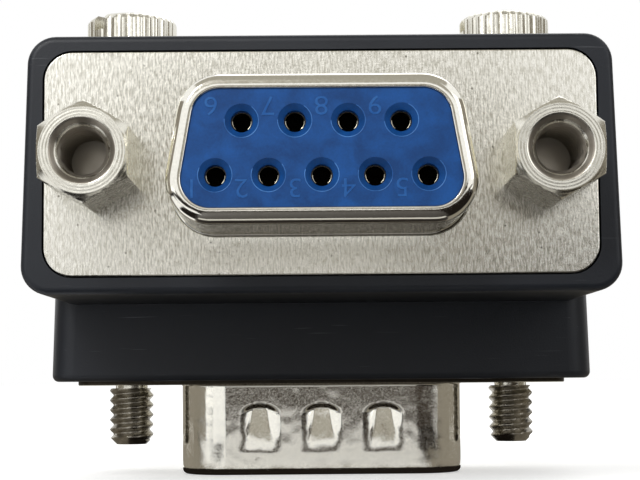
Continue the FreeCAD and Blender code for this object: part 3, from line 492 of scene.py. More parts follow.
def add_ring(shape, radius, thickness, place, start=0.0, sweep=360.0, steps=64, around=8):
    """A thin round bead along a circle, or along a part of it given in degrees."""
    closed = sweep == 360
    rings = []
    for step in range(steps if closed else steps + 1):
        turn = math.radians(start + sweep * step / steps)
        ring = []
        for side in range(around):
            swing = math.tau * side / around
            reach = radius + thickness * math.cos(swing)
            ring.append(shape.verts.new(place(reach * math.cos(turn), reach * math.sin(turn),
                                              thickness * math.sin(swing))))
        rings.append(ring)
    for ring, following in zip(rings, rings[1:] + rings[:1] if closed else rings[1:]):
        for side in range(around):
            other = (side + 1) % around
            shape.faces.new((ring[side], ring[other], following[other], following[side]))
    if not closed:
        shape.faces.new(rings[0])
        shape.faces.new(rings[-1])


blue_pbt = moulded_blue_pbt("moulded_blue_pbt", INSULATOR_DEEP_BLUE, INSULATOR_BLUE)
# The burrs' paler blue is a painted highlight, left off the shaded top of each mouth.
burr_highlight_pbt = moulded_blue_pbt("burr_highlight_blue_pbt", INSULATOR_BLUE, BURR_HIGHLIGHT_BLUE)
finish_nodes(blue_pbt, "socket_insulator", "socket_insulator_rear", "plug_insulator", "plug_insulator_rear")

mouths = []
for number in range(1, 10):
    across, up = contact_place(number)
    mouths.append([point + Vector((0, up)) for point in circle_points(across, HOLE_MOUTH_RADIUS)])
face_sink = LIP_WIDTH + FACE_GAP
face_points = skirt_outline(SOCKET_WIDTH - 2 * face_sink, SOCKET_DEPTH - 2 * face_sink,
                            SOCKET_CORNER - face_sink, OUTLINE_STEP)
shape = bmesh.new()
cut_plate(shape, [[point for point, _ in face_points], *mouths], FACE_SKIN, FACE_EDGE,
          lambda x, y, out: on_socket(x, y, FACE_OUT + FACE_SKIN + out))
insulator_face = new_piece("insulator_face", shape, blue_pbt)
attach(insulator_face, "adapter")

shape = bmesh.new()
for number in range(1, 10):
    across, up = contact_place(number)
    add_ring(shape, HOLE_MOUTH_RADIUS, BURR_RADIUS,
             lambda x, y, out: on_socket(across + x, up + y, FACE_OUT + FACE_SKIN + out),
             BURR_START + number * BURR_DRIFT, BURR_SWEEP)
hole_burrs = new_piece("hole_burrs", shape, burr_highlight_pbt)
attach(hole_burrs, "adapter")

# Contact numbers
#
# The tool that moulds the insulator has the contacts' numbers cut into it, so they stand up from the
# blue face by a few hundredths. They read upside down here, because the socket's long side is below.
DIGIT_HEIGHT = 1.0 * MM
DIGIT_SHARE_OF_TYPE = 0.7
DIGIT_RELIEF = 0.03 * MM
DIGIT_EDGE = 0.01 * MM
DIGIT_STRETCH = 1.1
DIGIT_BOLDNESS = -0.014 * MM
LOWER_DIGIT = Vector((-1.4, -0.64)) * MM
UPPER_DIGIT = Vector((-1.38, 0.82)) * MM
DIGIT_BLUE = "#265a96"
DIGIT_SHIFTS = {1: 0.2 * MM, 6: -0.2 * MM}

digit_turn = Matrix.Rotation(math.pi / 2, 4, "X") @ Matrix.Rotation(math.pi, 4, "Z")
shape = bmesh.new()
for number in range(1, 10):
    across, up = contact_place(number)
    lettering = bpy.data.curves.new("contact_number", "FONT")
    lettering.body = str(number)
    lettering.size = DIGIT_HEIGHT / DIGIT_SHARE_OF_TYPE
    lettering.align_x = "CENTER"
    lettering.align_y = "CENTER"
    lettering.extrude = DIGIT_RELIEF / 2
    lettering.offset = DIGIT_BOLDNESS
    lettering.bevel_depth = DIGIT_EDGE
    drawing = bpy.data.objects.new("contact_number", lettering)
    bpy.context.scene.collection.objects.link(drawing)
    bpy.context.view_layer.update()
    digit = bpy.data.meshes.new_from_object(drawing.evaluated_get(bpy.context.evaluated_depsgraph_get()))
    step = UPPER_DIGIT if up > 0 else LOWER_DIGIT
    middle = on_socket(across + step.x + DIGIT_SHIFTS.get(number, 0.0), up + step.y, FACE_OUT + FACE_SKIN)
    wide = Matrix.Diagonal((DIGIT_STRETCH, 1.0, 1.0, 1.0))
    digit.transform(Matrix.Translation(middle) @ digit_turn @ wide)
    shape.from_mesh(digit)
    bpy.data.objects.remove(drawing)
    bpy.data.curves.remove(lettering)
    bpy.data.meshes.remove(digit)
digit_pbt = moulded_blue_pbt("raised_blue_pbt", INSULATOR_BLUE, DIGIT_BLUE)
contact_numbers = new_piece("contact_numbers", shape, digit_pbt)
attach(contact_numbers, "adapter")

# Contacts, pins and link wires
#
# Contacts and pins are turned brass with a thin tin coat, and show as bright crescents down the blue
# holes and as pins inside the plug. The link wires behind them are bare tinned copper.
TIN = "#cfcabb"
TIN_SHADE = "#a39c88"
CONTACT_BORE_SHADE = "#15120e"
TURNING_MARK_MM = 0.05
CONTACT_FADE_MM = 0.3
LEAF_RADIUS = 0.5 * MM
LEAF_THICKNESS = 0.035 * MM
LEAF_DEPTH = 0.6 * MM
LEAF_SPANS = ((175, 55), (310, 55))


def tinned_brass(name):
    """Tin plate over turned brass: soft sheen with fine random marks, drawn coarse to show."""
    material, shader, place = new_finish(name, {"Metallic": 1.0})
    links = material.node_tree.links
    marks = add_node(material, "ShaderNodeTexNoise", {"Scale": 1 / TURNING_MARK_MM, "Detail": 2.0},
                     [(place, "Vector")])
    tone = add_node(material, "ShaderNodeMix", {"data_type": "RGBA", "A": linear(TIN_SHADE),
                    "B": linear(TIN)}, [(marks.outputs["Fac"], "Factor")])
    links.new(tone.outputs["Result"], shader.inputs["Base Color"])
    gloss = add_node(material, "ShaderNodeMapRange", {"To Min": 0.18, "To Max": 0.34},
                     [(marks.outputs["Fac"], "Value")])
    links.new(gloss.outputs["Result"], shader.inputs["Roughness"])
    return material, shader, place, tone


def tarnished_contact():
    """Tin that is bright at the contact's mouth and painted dark down its bore as shade, so the holes look
    black.
    """
    material, shader, place, tone = tinned_brass("tarnished_contact")
    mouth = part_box("socket_contact_1")[0].y / MM
    along = add_node(material, "ShaderNodeSeparateXYZ", {}, [(place, "Vector")])
    depth = add_node(material, "ShaderNodeMapRange",
                     {"From Min": mouth - 3 * CONTACT_FADE_MM, "From Max": mouth + CONTACT_FADE_MM},
                     [(along.outputs["Y"], "Value")])
    depth_painted_tone = add_node(material, "ShaderNodeMix", {"data_type": "RGBA", "B": linear(CONTACT_BORE_SHADE)},
                     [(depth.outputs["Result"], "Factor"), (tone.outputs["Result"], "A")])
    material.node_tree.links.new(depth_painted_tone.outputs["Result"], shader.inputs["Base Color"])
    return material


tin = tinned_brass("tinned_brass")[0]
# The socket contacts take tin with painted shade down their bores.
contact_tin_painted_shade = tarnished_contact()
for number in range(1, 10):
    finish_nodes(contact_tin_painted_shade, "socket_contact_%d" % number)
    finish_nodes(tin, "plug_pin_%d" % number, "link_wire_%d" % number)
    across, up = contact_place(number)
    shape = bmesh.new()
    for start, sweep in LEAF_SPANS:
        add_ring(shape, LEAF_RADIUS, LEAF_THICKNESS,
                 lambda x, y, out: on_socket(across + x, up + y, FACE_OUT - LEAF_DEPTH + out),
                 start, sweep, 16)
    leaves = new_piece("contact_leaves_%d" % number, shape, tin)
    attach(leaves, "adapter")

# Plug shell
#
# The plug's flange and open skirt are drawn from the same plated sheet. Dimples pressed into its long
# and short sides grip the mating shell: each starts at a steep step and fades out towards the mouth.
PLUG_WIDTH = 18.0 * MM
PLUG_DEPTH = 9.26 * MM
PLUG_CORNER = 3.05 * MM
PLUG_STANDOUT = -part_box("plug_shell")[0].z
MOUTH_RADIUS = 0.34 * MM
MOUTH_INNER_RADIUS = 0.1 * MM
DIMPLE_PITCH = 3.9 * MM
DIMPLE_SINK = 0.36 * MM
DIMPLE_FADE = 1.4
DIMPLE_START = 1.2 * MM
DIMPLE_STEP = 0.3 * MM
DIMPLE_BOW = 0.45 * MM
DIMPLE_END = 4.3 * MM
DIMPLE_HALF_TOP = 1.25 * MM
DIMPLE_HALF_END = 1.55 * MM
DIMPLE_SIDE = 0.85 * MM
FLAT_SIDE = 0.999
PLUG_OUTLINE_STEP = 0.09 * MM
PLUG_ROWS = 60
PLUG_SWELL = 0.08 * MM
PLUG_HAZE = (0.08, 0.16)


def on_plug(across, back, down):
    """A place on the plug, measured across, back and down from the middle of its flange face."""
    return Vector((across, back, -down))


def ease(value):
    """A smooth step from 0 to 1."""
    value = min(max(value, 0.0), 1.0)
    return value * value * (3 - 2 * value)


def dimple(point, normal, down):
    """How far the pressing tool has pushed the wall in at a point of the skirt."""
    if abs(normal.y) < FLAT_SIDE or not DIMPLE_START < down < DIMPLE_END:
        return 0.0
    middles = (-DIMPLE_PITCH, 0.0, DIMPLE_PITCH) if normal.y < 0 else (-DIMPLE_PITCH / 2, DIMPLE_PITCH / 2)
    depth = 0.0
    for middle in middles:
        aside = abs(point.x - middle)
        start = DIMPLE_START + DIMPLE_BOW * (aside / DIMPLE_HALF_TOP) ** 2
        along = (down - DIMPLE_START) / (DIMPLE_END - DIMPLE_START)
        half = DIMPLE_HALF_TOP + (DIMPLE_HALF_END - DIMPLE_HALF_TOP) * along
        sink = DIMPLE_SINK * (1 - along) ** DIMPLE_FADE * ease((down - start) / DIMPLE_STEP)
        depth += sink * ease((half - aside) / DIMPLE_SIDE)
    return depth


plug_points = skirt_outline(PLUG_WIDTH, PLUG_DEPTH, PLUG_CORNER, PLUG_OUTLINE_STEP)
plug_straight = PLUG_STANDOUT - ROOT_RADIUS - MOUTH_RADIUS
plug_rows = [ROOT_RADIUS + plug_straight * row / PLUG_ROWS for row in range(1, PLUG_ROWS)]
plug_section = [
    *arc(-ROOT_RADIUS, ROOT_RADIUS, ROOT_RADIUS, -90, 0),
    *[(0.0, height) for height in plug_rows],
    *arc(MOUTH_RADIUS, PLUG_STANDOUT - MOUTH_RADIUS, MOUTH_RADIUS, 180, 90, 4),
    *arc(SKIRT_WALL - MOUTH_INNER_RADIUS, PLUG_STANDOUT - MOUTH_INNER_RADIUS, MOUTH_INNER_RADIUS, 90, 0, 4),
    *[(SKIRT_WALL, height) for height in reversed(plug_rows)],
    (SKIRT_WALL, -SHEET_THICKNESS),
    (-ROOT_RADIUS, -SHEET_THICKNESS),
]

shape = bmesh.new()
loft_skirt(shape, plug_points, plug_section, on_plug, dimple)
dimpled_nickel = drawn_bright_nickel("dimpled_bright_nickel", PLUG_SWELL, PLUG_HAZE)
plug_skirt = new_piece("plug_skirt", shape, dimpled_nickel)
shape = bmesh.new()
cut_plate(shape, flange_outlines(plug_points), SHEET_THICKNESS, SHEET_EDGE, on_plug)
plug_flange = new_piece("plug_flange", shape, dimpled_nickel)
dull_rim(plug_flange, cut_steel_painted_shade, Vector((0, 0, 1)))
for piece in (plug_skirt, plug_flange):
    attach(piece, "adapter")
    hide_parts("plug_shell")

# Standoffs and their nuts
#
# Two hexagonal posts are screwed through the socket's flange into nuts. Each is turned from bar and
# nickel plated: a chamfered round face with turning marks, a countersunk mouth and a cut thread.
THREAD_MAJOR_RADIUS = 1.4225 * MM
THREAD_MINOR_RADIUS = 1.2 * MM
THREAD_PITCH = 0.635 * MM
THREAD_FLAT_SHARE = 0.14
RINGS_PER_TURN = 12
HEX_FLATS = 4.76 * MM
POST_LENGTH = 5.4 * MM
POST_FACE_RADIUS = 2.28 * MM
POST_MOUTH_RADIUS = 1.75 * MM
POST_BORE_DEPTH = 5.0 * MM
POST_EDGE = 0.05 * MM
POST_CHAMFER_SLOPE = math.tan(math.radians(45))
STUD_LENGTH = 4.6 * MM
STUD_CHAMFER = 0.45 * MM
CHAMFER_RINGS = 12
AROUND = 144
TURNED_SHARP_ANGLE = 24
ALONG_Y = 1
TURNED_NICKEL = "#f2f0e6"
TURNED_SHADE = "#dcd9cd"
TOOL_MARK_MM = 0.17
WEAR_PATCHES_PER_MM = 2.4
BORE_SHADE_BROWN = "#857e74"
BORE_SHADE_GREY = "#aaa398"
BORE_SHADE_DEEP = "#aea79b"
BORE_MOTTLE_MM = 0.9
BORE_FADE_START_MM = 0.5
BORE_FADE_END_MM = 2.6
BORE_LEAD_IN = (0.28 * MM, 0.42 * MM)


def hexagon(angle):
    """Radius of the hexagon at an angle, with a flat on each side and a corner on top."""
    sector = math.radians(60)
    return HEX_FLATS / 2 / math.cos((angle + sector / 2) % sector - sector / 2)


def thread(angle, height, inner, outer):
    """Radius of a right-hand 60 degree thread at an angle and height."""
    turn = (height / THREAD_PITCH - angle / math.tau) % 1
    crest = (abs(2 * turn - 1) - THREAD_FLAT_SHARE) / (1 - 2 * THREAD_FLAT_SHARE)
    crest = min(max(crest, 0.0), 1.0)
    return inner + (outer - inner) * crest


def turn_rings(shape, rings, place, around=AROUND):
    """Joins rings, given as (height, radius at an angle), and closes both ends with a fan."""
    loops = []
    for height, radius in rings:
        loop = []
        for step in range(around):
            angle = math.tau * step / around
            reach = radius(angle) if callable(radius) else radius
            loop.append(shape.verts.new(place(reach * math.cos(angle), reach * math.sin(angle), height)))
        loops.append(loop)
    for loop, following in zip(loops, loops[1:]):
        for step in range(around):
            right = (step + 1) % around
            shape.faces.new((loop[step], loop[right], following[right], following[step]))
    for loop, (height, _) in ((loops[0], rings[0]), (loops[-1], rings[-1])):
        tip = shape.verts.new(place(0, 0, height))
        for step in range(around):
            shape.faces.new((loop[step], loop[(step + 1) % around], tip))


def post_rings():
    """Rings of one post, from the end of its stud, over its face and down its threaded bore."""
    rings = [(-STUD_LENGTH, THREAD_MAJOR_RADIUS - STUD_CHAMFER),
             (STUD_CHAMFER - STUD_LENGTH, THREAD_MAJOR_RADIUS), (0.0, THREAD_MAJOR_RADIUS), (0.0, hexagon)]
    drop = (HEX_FLATS / math.sqrt(3) - POST_FACE_RADIUS) * POST_CHAMFER_SLOPE
    for step in range(CHAMFER_RINGS + 1):
        level = POST_LENGTH - drop * (1 - step / CHAMFER_RINGS)
        limit = POST_FACE_RADIUS + (POST_LENGTH - level) / POST_CHAMFER_SLOPE
        rings.append((level, lambda angle, limit=limit: min(hexagon(angle), limit)))
    rings.append((POST_LENGTH, POST_FACE_RADIUS - POST_EDGE))
    rings.append((POST_LENGTH, POST_MOUTH_RADIUS + POST_EDGE))
    rings.append((POST_LENGTH - POST_EDGE / 2, POST_MOUTH_RADIUS))
    count = round(POST_BORE_DEPTH / THREAD_PITCH * RINGS_PER_TURN)
    for step in range(1, count + 1):
        depth = POST_BORE_DEPTH * step / count
        cone = POST_MOUTH_RADIUS - depth
        rings.append((POST_LENGTH - depth, lambda angle, depth=depth, cone=cone: max(
            cone, thread(angle, POST_LENGTH - depth, THREAD_MINOR_RADIUS, THREAD_MAJOR_RADIUS))))
    return rings


def turned_nickel(name, centre, axis):
    """Bright nickel over turned brass: the tool's rings, drawn coarse enough to show, and light wear."""
    material, shader, place = new_finish(name, {"Metallic": 1.0})
    links = material.node_tree.links
    flat = tuple(0.0 if step == axis else 1.0 for step in range(3))
    centred = add_node(material, "ShaderNodeVectorMath", {"operation": "SUBTRACT",
                       1: tuple(value / MM for value in centre)}, [(place, 0)])
    across = add_node(material, "ShaderNodeVectorMath", {"operation": "MULTIPLY", 1: flat},
                      [(centred.outputs["Vector"], 0)])
    reach = add_node(material, "ShaderNodeVectorMath", {"operation": "LENGTH"},
                     [(across.outputs["Vector"], 0)])
    phase = add_node(material, "ShaderNodeMath", {"operation": "MULTIPLY", 1: math.tau / TOOL_MARK_MM},
                     [(reach.outputs["Value"], 0)])
    marks = add_node(material, "ShaderNodeMath", {"operation": "SINE"}, [(phase.outputs["Value"], 0)])
    wear = add_node(material, "ShaderNodeTexNoise", {"Scale": WEAR_PATCHES_PER_MM, "Detail": 5.0,
                    "Roughness": 0.65}, [(place, "Vector")])
    tone = add_node(material, "ShaderNodeMix", {"data_type": "RGBA", "A": linear(TURNED_SHADE),
                    "B": linear(TURNED_NICKEL)}, [(wear.outputs["Fac"], "Factor")])
    links.new(tone.outputs["Result"], shader.inputs["Base Color"])
    gloss = add_node(material, "ShaderNodeMapRange",
                     {"From Min": 0.3, "From Max": 0.7, "To Min": 0.16, "To Max": 0.32},
                     [(wear.outputs["Fac"], "Value")])
    links.new(gloss.outputs["Result"], shader.inputs["Roughness"])
    rings = add_node(material, "ShaderNodeBump", {"Strength": 0.35, "Distance": 0.007 * MM},
                     [(marks.outputs["Value"], "Height")])
    bump = add_node(material, "ShaderNodeBump", {"Strength": 0.3, "Distance": 0.012 * MM},
                    [(wear.outputs["Fac"], "Height"), (rings.outputs["Normal"], "Normal")])
    links.new(bump.outputs["Normal"], shader.inputs["Normal"])
    return material


def stained_bore():
    """Painted shade down a threaded bore: mottled dark at the mouth, painted lighter deep down where it is
    hardly lit.
    """
    material, shader, place = new_finish("stained_bore", {"Metallic": 0.9})
    bore_mottle = add_node(material, "ShaderNodeTexNoise", {"Scale": 1 / BORE_MOTTLE_MM, "Detail": 3.0},
                     [(place, "Vector")])
    tone = add_node(material, "ShaderNodeMix", {"data_type": "RGBA", "A": linear(BORE_SHADE_BROWN),
                    "B": linear(BORE_SHADE_GREY)}, [(bore_mottle.outputs["Fac"], "Factor")])
    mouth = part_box("standoff_left")[0].y / MM
    along = add_node(material, "ShaderNodeSeparateXYZ", {}, [(place, "Vector")])
    depth = add_node(material, "ShaderNodeMapRange", {"From Min": mouth + BORE_FADE_START_MM,
                     "From Max": mouth + BORE_FADE_END_MM}, [(along.outputs["Y"], "Value")])
    depth_painted_tone = add_node(material, "ShaderNodeMix", {"data_type": "RGBA", "B": linear(BORE_SHADE_DEEP)},
                     [(depth.outputs["Result"], "Factor"), (tone.outputs["Result"], "A")])
    gloss = add_node(material, "ShaderNodeMapRange", {"To Min": 0.22, "To Max": 0.45},
                     [(bore_mottle.outputs["Fac"], "Value")])
    material.node_tree.links.new(depth_painted_tone.outputs["Result"], shader.inputs["Base Color"])
    material.node_tree.links.new(gloss.outputs["Result"], shader.inputs["Roughness"])
    return material


bore_painted_shade = stained_bore()
for side, sign in (("left", -1), ("right", 1)):
    middle = on_socket(sign * SCREW_OFFSET, 0.0, 0.0)
    post_nickel = turned_nickel("turned_nickel_post_" + side, middle, ALONG_Y)
    shape = bmesh.new()
    turn_rings(shape, post_rings(), lambda x, y, out: on_socket(sign * SCREW_OFFSET + x, y, out))
    post = new_piece("post_" + side, shape, post_nickel, TURNED_SHARP_ANGLE)
    # The bore's faces take the painted shade, but the band at the lead-in keeps the bright nickel.
    post.data.materials.append(bore_painted_shade)
    for face in post.data.polygons:
        depth = POST_LENGTH - (middle.y - face.center.y)
        reach = math.hypot(face.center.x - middle.x, face.center.z - middle.z)
        inside = reach < POST_MOUTH_RADIUS and POST_EDGE / 2 < depth < POST_LENGTH
        if inside and not BORE_LEAD_IN[0] < depth < BORE_LEAD_IN[1]:
            face.material_index = 1
    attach(post, "adapter")
    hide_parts("standoff_" + side)
    finish_nodes(post_nickel, "standoff_nut_" + side)

# Thumbscrews
#
# A long screw runs down each side of the housing. Its head is straight-knurled and slotted, its shank
# is turned thin so that it can't drop out, and its thread stands out below the plug's flange.
HEAD_RADIUS = 2.975 * MM
HEAD_LENGTH = 4.9 * MM
HEAD_CHAMFER = 0.35 * MM
HEAD_CHAMFER_BOW = 0.35
HEAD_FOOT = 0.6 * MM
FLUTES = 32
FLUTE_DEPTH = 0.08 * MM
HEAD_FOOT_RADIUS = 2.775 * MM
SLOT_WIDTH = 0.9 * MM
SLOT_DEPTH = 1.0 * MM
SLOT_TURNS = {"left": math.radians(48), "right": math.radians(12)}
SHANK_RADIUS = 1.05 * MM
SCREW_THREAD_LENGTH = 3.65 * MM
SCREW_END_CHAMFER = 0.45 * MM
HEAD_STEPS_PER_FLUTE = 10
THREAD_SHADE = "#6f695f"
THREAD_NICKEL = "#c6c1b5"
THREAD_MOTTLE_MM = 0.4
ALONG_Z = 2


def thread_nickel():
    """Nickel on a cut thread, greyer than the head, with a random darker and rougher mottle."""
    material, shader, place = new_finish("thread_nickel", {"Metallic": 1.0})
    thread_mottle = add_node(material, "ShaderNodeTexNoise", {"Scale": 1 / THREAD_MOTTLE_MM, "Detail": 3.0},
                    [(place, "Vector")])
    tone = add_node(material, "ShaderNodeMix", {"data_type": "RGBA", "A": linear(THREAD_SHADE),
                    "B": linear(THREAD_NICKEL)}, [(thread_mottle.outputs["Fac"], "Factor")])
    gloss = add_node(material, "ShaderNodeMapRange", {"To Min": 0.4, "To Max": 0.18},
                     [(thread_mottle.outputs["Fac"], "Value")])
    material.node_tree.links.new(tone.outputs["Result"], shader.inputs["Base Color"])
    material.node_tree.links.new(gloss.outputs["Result"], shader.inputs["Roughness"])
    return material


def fluted(angle, reach):
    """Radius of the knurled rim at an angle: round crests with soft grooves between them."""
    return reach - FLUTE_DEPTH * (0.5 + 0.5 * math.cos(angle * FLUTES))


def screw_rings(low, high):
    """Rings of one thumbscrew's turned body, from its thread's end to its head's top."""
    rings = []
    count = round(SCREW_THREAD_LENGTH / THREAD_PITCH * RINGS_PER_TURN)
    for step in range(count + 1):
        level = SCREW_THREAD_LENGTH * step / count
        limit = THREAD_MAJOR_RADIUS - SCREW_END_CHAMFER + level
        rings.append((low + level, lambda angle, level=level, limit=limit: min(
            limit, thread(angle, level, THREAD_MINOR_RADIUS, THREAD_MAJOR_RADIUS))))
    rings.append((low + SCREW_THREAD_LENGTH, SHANK_RADIUS))
    rings.append((high - HEAD_LENGTH, SHANK_RADIUS))
    rings.append((high - HEAD_LENGTH, HEAD_FOOT_RADIUS))
    rings.append((high - HEAD_LENGTH + HEAD_FOOT, HEAD_FOOT_RADIUS))
    for level, limit in ((HEAD_FOOT - HEAD_LENGTH, HEAD_RADIUS), (-HEAD_CHAMFER, HEAD_RADIUS),
                         (-HEAD_CHAMFER / 2, HEAD_RADIUS - HEAD_CHAMFER * HEAD_CHAMFER_BOW),
                         (0.0, HEAD_RADIUS - HEAD_CHAMFER)):
        rings.append((high + level, lambda angle, limit=limit: min(fluted(angle, HEAD_RADIUS), limit)))
    return rings


def cut_slot(piece, turn, top):
    """Takes the screwdriver slot out of a head."""
    cutter_shape = bmesh.new()
    bmesh.ops.create_cube(cutter_shape, size=1.0)
    reach = Matrix.Diagonal((4 * HEAD_RADIUS, SLOT_WIDTH, 2 * SLOT_DEPTH, 1.0))
    place = Matrix.Translation(top) @ Matrix.Rotation(turn, 4, "Z") @ reach
    bmesh.ops.transform(cutter_shape, matrix=place, verts=cutter_shape.verts)
    cutter_mesh = bpy.data.meshes.new("slot_cutter")
    cutter_shape.to_mesh(cutter_mesh)
    cutter_shape.free()
    cutter = bpy.data.objects.new("slot_cutter", cutter_mesh)
    bpy.context.scene.collection.objects.link(cutter)
    cut = piece.modifiers.new("slot", "BOOLEAN")
    cut.operation = "DIFFERENCE"
    cut.solver = "EXACT"
    cut.object = cutter
    bpy.context.view_layer.update()
    mesh = bpy.data.meshes.new_from_object(piece.evaluated_get(bpy.context.evaluated_depsgraph_get()))
    piece.modifiers.clear()
    old = piece.data
    piece.data = mesh
    bpy.data.meshes.remove(old)
    bpy.data.objects.remove(cutter)
    bpy.data.meshes.remove(cutter_mesh)
    mesh.set_sharp_from_angle(angle=math.radians(TURNED_SHARP_ANGLE))


thread_finish = thread_nickel()
for side, sign in (("left", -1), ("right", 1)):
    low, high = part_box("thumbscrew_" + side)
    axis = Vector((sign * SCREW_OFFSET, 0.0, 0.0))
    screw_nickel = turned_nickel("turned_nickel_screw_" + side, axis, ALONG_Z)
    shape = bmesh.new()
    turn_rings(shape, screw_rings(low.z, high.z), lambda x, y, up: axis + Vector((x, y, up)),
               FLUTES * HEAD_STEPS_PER_FLUTE)
    screw = new_piece("screw_" + side, shape, screw_nickel, TURNED_SHARP_ANGLE)
    screw.data.materials.append(thread_finish)
    for face in screw.data.polygons:
        if face.center.z < low.z + SCREW_THREAD_LENGTH:
            face.material_index = 1
    cut_slot(screw, SLOT_TURNS[side], axis + Vector((0, 0, high.z)))
    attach(screw, side + "_thumbscrew")
    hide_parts("thumbscrew_" + side)

# Floor and surround
#
# The part stands on pale paper, in an even white surround. Both look whiter, to the eye and in the
# metal, than the light that they throw on the part, so the floor still keeps its shadow.
FLOOR_COLOUR = "#f4f4f2"
FLOOR_SIZE = 6.0
FLOOR_GAP = 0.02 * MM
FLOOR_GLOW = 0.45
SURROUND_LIGHT = 0.62
WHITE = (1.0, 1.0, 1.0, 1.0)

shape = bmesh.new()
bmesh.ops.create_grid(shape, x_segments=1, y_segments=1, size=FLOOR_SIZE / 2)
bmesh.ops.translate(shape, verts=shape.verts, vec=(0, 0, cad_box[0].z - FLOOR_GAP))
paper, paper_shader, _ = new_finish("matt_paper", {"Base Color": linear(FLOOR_COLOUR), "Roughness": 0.8,
                                    "Emission Color": WHITE})
path = add_node(paper, "ShaderNodeLightPath", {})
seen = add_node(paper, "ShaderNodeMath", {"operation": "MAXIMUM"},
                [(path.outputs["Is Camera Ray"], 0), (path.outputs["Is Glossy Ray"], 1)])
strength = add_node(paper, "ShaderNodeMath", {"operation": "MULTIPLY", 1: FLOOR_GLOW},
                    [(seen.outputs["Value"], 0)])
paper.node_tree.links.new(strength.outputs["Value"], paper_shader.inputs["Emission Strength"])
new_piece("floor", shape, paper)

surround = bpy.data.worlds.new("surround")
bpy.context.scene.world = surround
surround.use_nodes = True
surround.node_tree.nodes.clear()
path = add_node(surround, "ShaderNodeLightPath", {})
mirrored = add_node(surround, "ShaderNodeMath", {"operation": "MAXIMUM"},
                    [(path.outputs["Is Glossy Ray"], 0), (path.outputs["Is Transmission Ray"], 1)])
shown = add_node(surround, "ShaderNodeMath", {"operation": "MAXIMUM"},
                 [(path.outputs["Is Camera Ray"], 0), (mirrored.outputs["Value"], 1)])
level = add_node(surround, "ShaderNodeMapRange", {"To Min": SURROUND_LIGHT, "To Max": 1.0},
                 [(shown.outputs["Value"], "Value")])
sky = add_node(surround, "ShaderNodeBackground", {"Color": WHITE}, [(level.outputs["Result"], "Strength")])
add_node(surround, "ShaderNodeOutputWorld", {}, [(sky.outputs["Background"], "Surface")])

# Lamps
#
# Three soft square lamps face the part: the key from high on the left, a weak one to fill the right
# side, and one behind that draws an edge along the heads. Each has its place, width and power.
LAMPS = (
    ("key_lamp", Vector((-0.09, -0.2, 0.17)), 0.12, 0.43),
    ("fill_lamp", Vector((0.22, -0.16, 0.1)), 0.14, 0.06),
    ("back_lamp", Vector((0.05, 0.2, 0.24)), 0.18, 0.16),
)
middle = (cad_box[0] + cad_box[1]) / 2
for name, place, size, power in LAMPS:
    light = bpy.data.lights.new(name, "AREA")
    light.size = size
    light.energy = power
    lamp = bpy.data.objects.new(name, light)
    lamp.location = place
    lamp.rotation_euler = (middle - place).to_track_quat("-Z", "Y").to_euler()
    bpy.context.scene.collection.objects.link(lamp)

# Cards
#
# Bright nickel looks like what stands round it, so flat cards stand where the photograph's room was
# dark or grey. Only reflections show them, and they neither light nor shade the part otherwise.
TABLE_BROWN = "#2a2420"
TABLE_PAINTED_SHEEN = 0.62
FACING_PART = Matrix.Rotation(math.pi / 2, 4, "X")
FACING_SIDEWAYS = Matrix.Rotation(math.pi / 2, 4, "Y")
FACING_UP = Matrix.Identity(4)


def even_card(name, colour):
    """A card's finish that shows one even tone in the metal, whatever light falls on it."""
    return new_finish(name, {"Base Color": (0, 0, 0, 1), "Specular IOR Level": 0.0,
                             "Emission Color": linear(colour), "Emission Strength": 1.0})[0]


def polished_table():
    """Dark varnished wood with a painted sheen, which glows pale where it is seen at a low slant."""
    material, shader, _ = new_finish("polished_table", {"Base Color": linear(TABLE_BROWN),
                                     "Emission Color": WHITE})
    slant = add_node(material, "ShaderNodeLayerWeight", {"Blend": 0.5})
    sheen = add_node(material, "ShaderNodeMapRange", {"From Min": 0.86, "From Max": 0.94,
                     "To Max": TABLE_PAINTED_SHEEN}, [(slant.outputs["Facing"], "Value")])
    material.node_tree.links.new(sheen.outputs["Result"], shader.inputs["Emission Strength"])
    return material


def on_floor(x, y, lift=0.0):
    """A place on the floor, lifted by hundredths of a millimetre so that cards can overlap."""
    return Vector((x, y, cad_box[0].z + lift * MM))


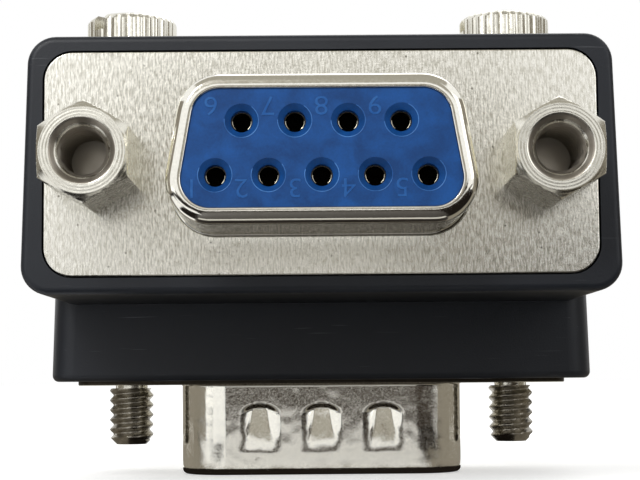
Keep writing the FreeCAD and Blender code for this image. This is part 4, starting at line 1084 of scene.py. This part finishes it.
dark_card = even_card("dark_card", "#1d1916")
brown_card = even_card("brown_card", "#3a322a")
hand_card = even_card("hand_card", "#8b857a")
grey_card = even_card("grey_card", "#a9a59b")
pale_card = even_card("pale_card", "#d2d0ca")
white_card = even_card("white_card", "#ffffff")
CARDS = (
    # Upright in front, for the faces that look at the viewer
    ("card_low", Vector((0.06, -0.114, -0.0008)), FACING_PART, (0.28, 0.0098), brown_card),
    ("card_hand", Vector((0.03, -0.118, 0.0135)), FACING_PART, (0.034, 0.011), brown_card),
    ("card_camera", Vector((0.0, -0.116, 0.024)), FACING_PART, (0.046, 0.02), hand_card),
    ("card_front", Vector((0.0, -0.1, 0.085)), FACING_PART, (0.12, 0.07), grey_card),
    ("card_dimple", Vector((0.0, -0.1155, 0.024)), FACING_PART, (0.022, 0.014), grey_card),
    ("card_window", Vector((-0.026, -0.045, -0.0019)), FACING_PART, (0.028, 0.0076), white_card),
    # Upright at the sides and behind, and level above, for corners and turned edges
    ("card_right", Vector((0.08, -0.01, 0.027)), FACING_SIDEWAYS, (0.065, 0.08), hand_card),
    ("card_left", Vector((-0.08, -0.01, 0.027)), FACING_SIDEWAYS, (0.065, 0.08), hand_card),
    ("card_above", Vector((0.0, -0.04, 0.12)), FACING_UP, (0.16, 0.12), grey_card),
    ("card_back_left", Vector((-0.05, 0.06, 0.0002)), FACING_PART, (0.075, 0.0118), hand_card),
    ("card_back_right", Vector((0.05, 0.06, 0.0002)), FACING_PART, (0.075, 0.0118), hand_card),
    # Flat on the floor, for the plug, the posts' lower chamfers and the lip's lower side
    ("card_table", on_floor(0.0, -0.055), FACING_UP, (0.2, 0.118), dark_card),
    ("card_apron", on_floor(0.0, -0.0145, 0.01), FACING_UP, (0.05, 0.013), hand_card),
    ("card_painted_sheen", on_floor(0.0, -0.061, 0.02), FACING_UP, (0.026, 0.1), polished_table()),
    ("card_glow_near", on_floor(-0.02, -0.0165, 0.03), FACING_UP, (0.013, 0.009), white_card),
    ("card_glow_far", on_floor(-0.043, -0.029, 0.03), FACING_UP, (0.033, 0.03), white_card),
    ("card_side_left", on_floor(-0.045, 0.022, 0.03), FACING_UP, (0.064, 0.068), hand_card),
    ("card_side_right", on_floor(0.045, 0.016, 0.03), FACING_UP, (0.064, 0.08), hand_card),
    ("card_strip", on_floor(0.0, -0.027, 0.04), FACING_UP, (0.024, 0.004), pale_card),
)
for name, place, turn, (width, height), finish in CARDS:
    shape = bmesh.new()
    bmesh.ops.create_grid(shape, x_segments=1, y_segments=1, size=0.5)
    bmesh.ops.scale(shape, verts=shape.verts, vec=(width, height, 1.0))
    bmesh.ops.transform(shape, matrix=Matrix.Translation(place) @ turn, verts=shape.verts)
    card = new_piece(name, shape, finish)
    card.visible_camera = False
    card.visible_diffuse = False
    card.visible_shadow = False
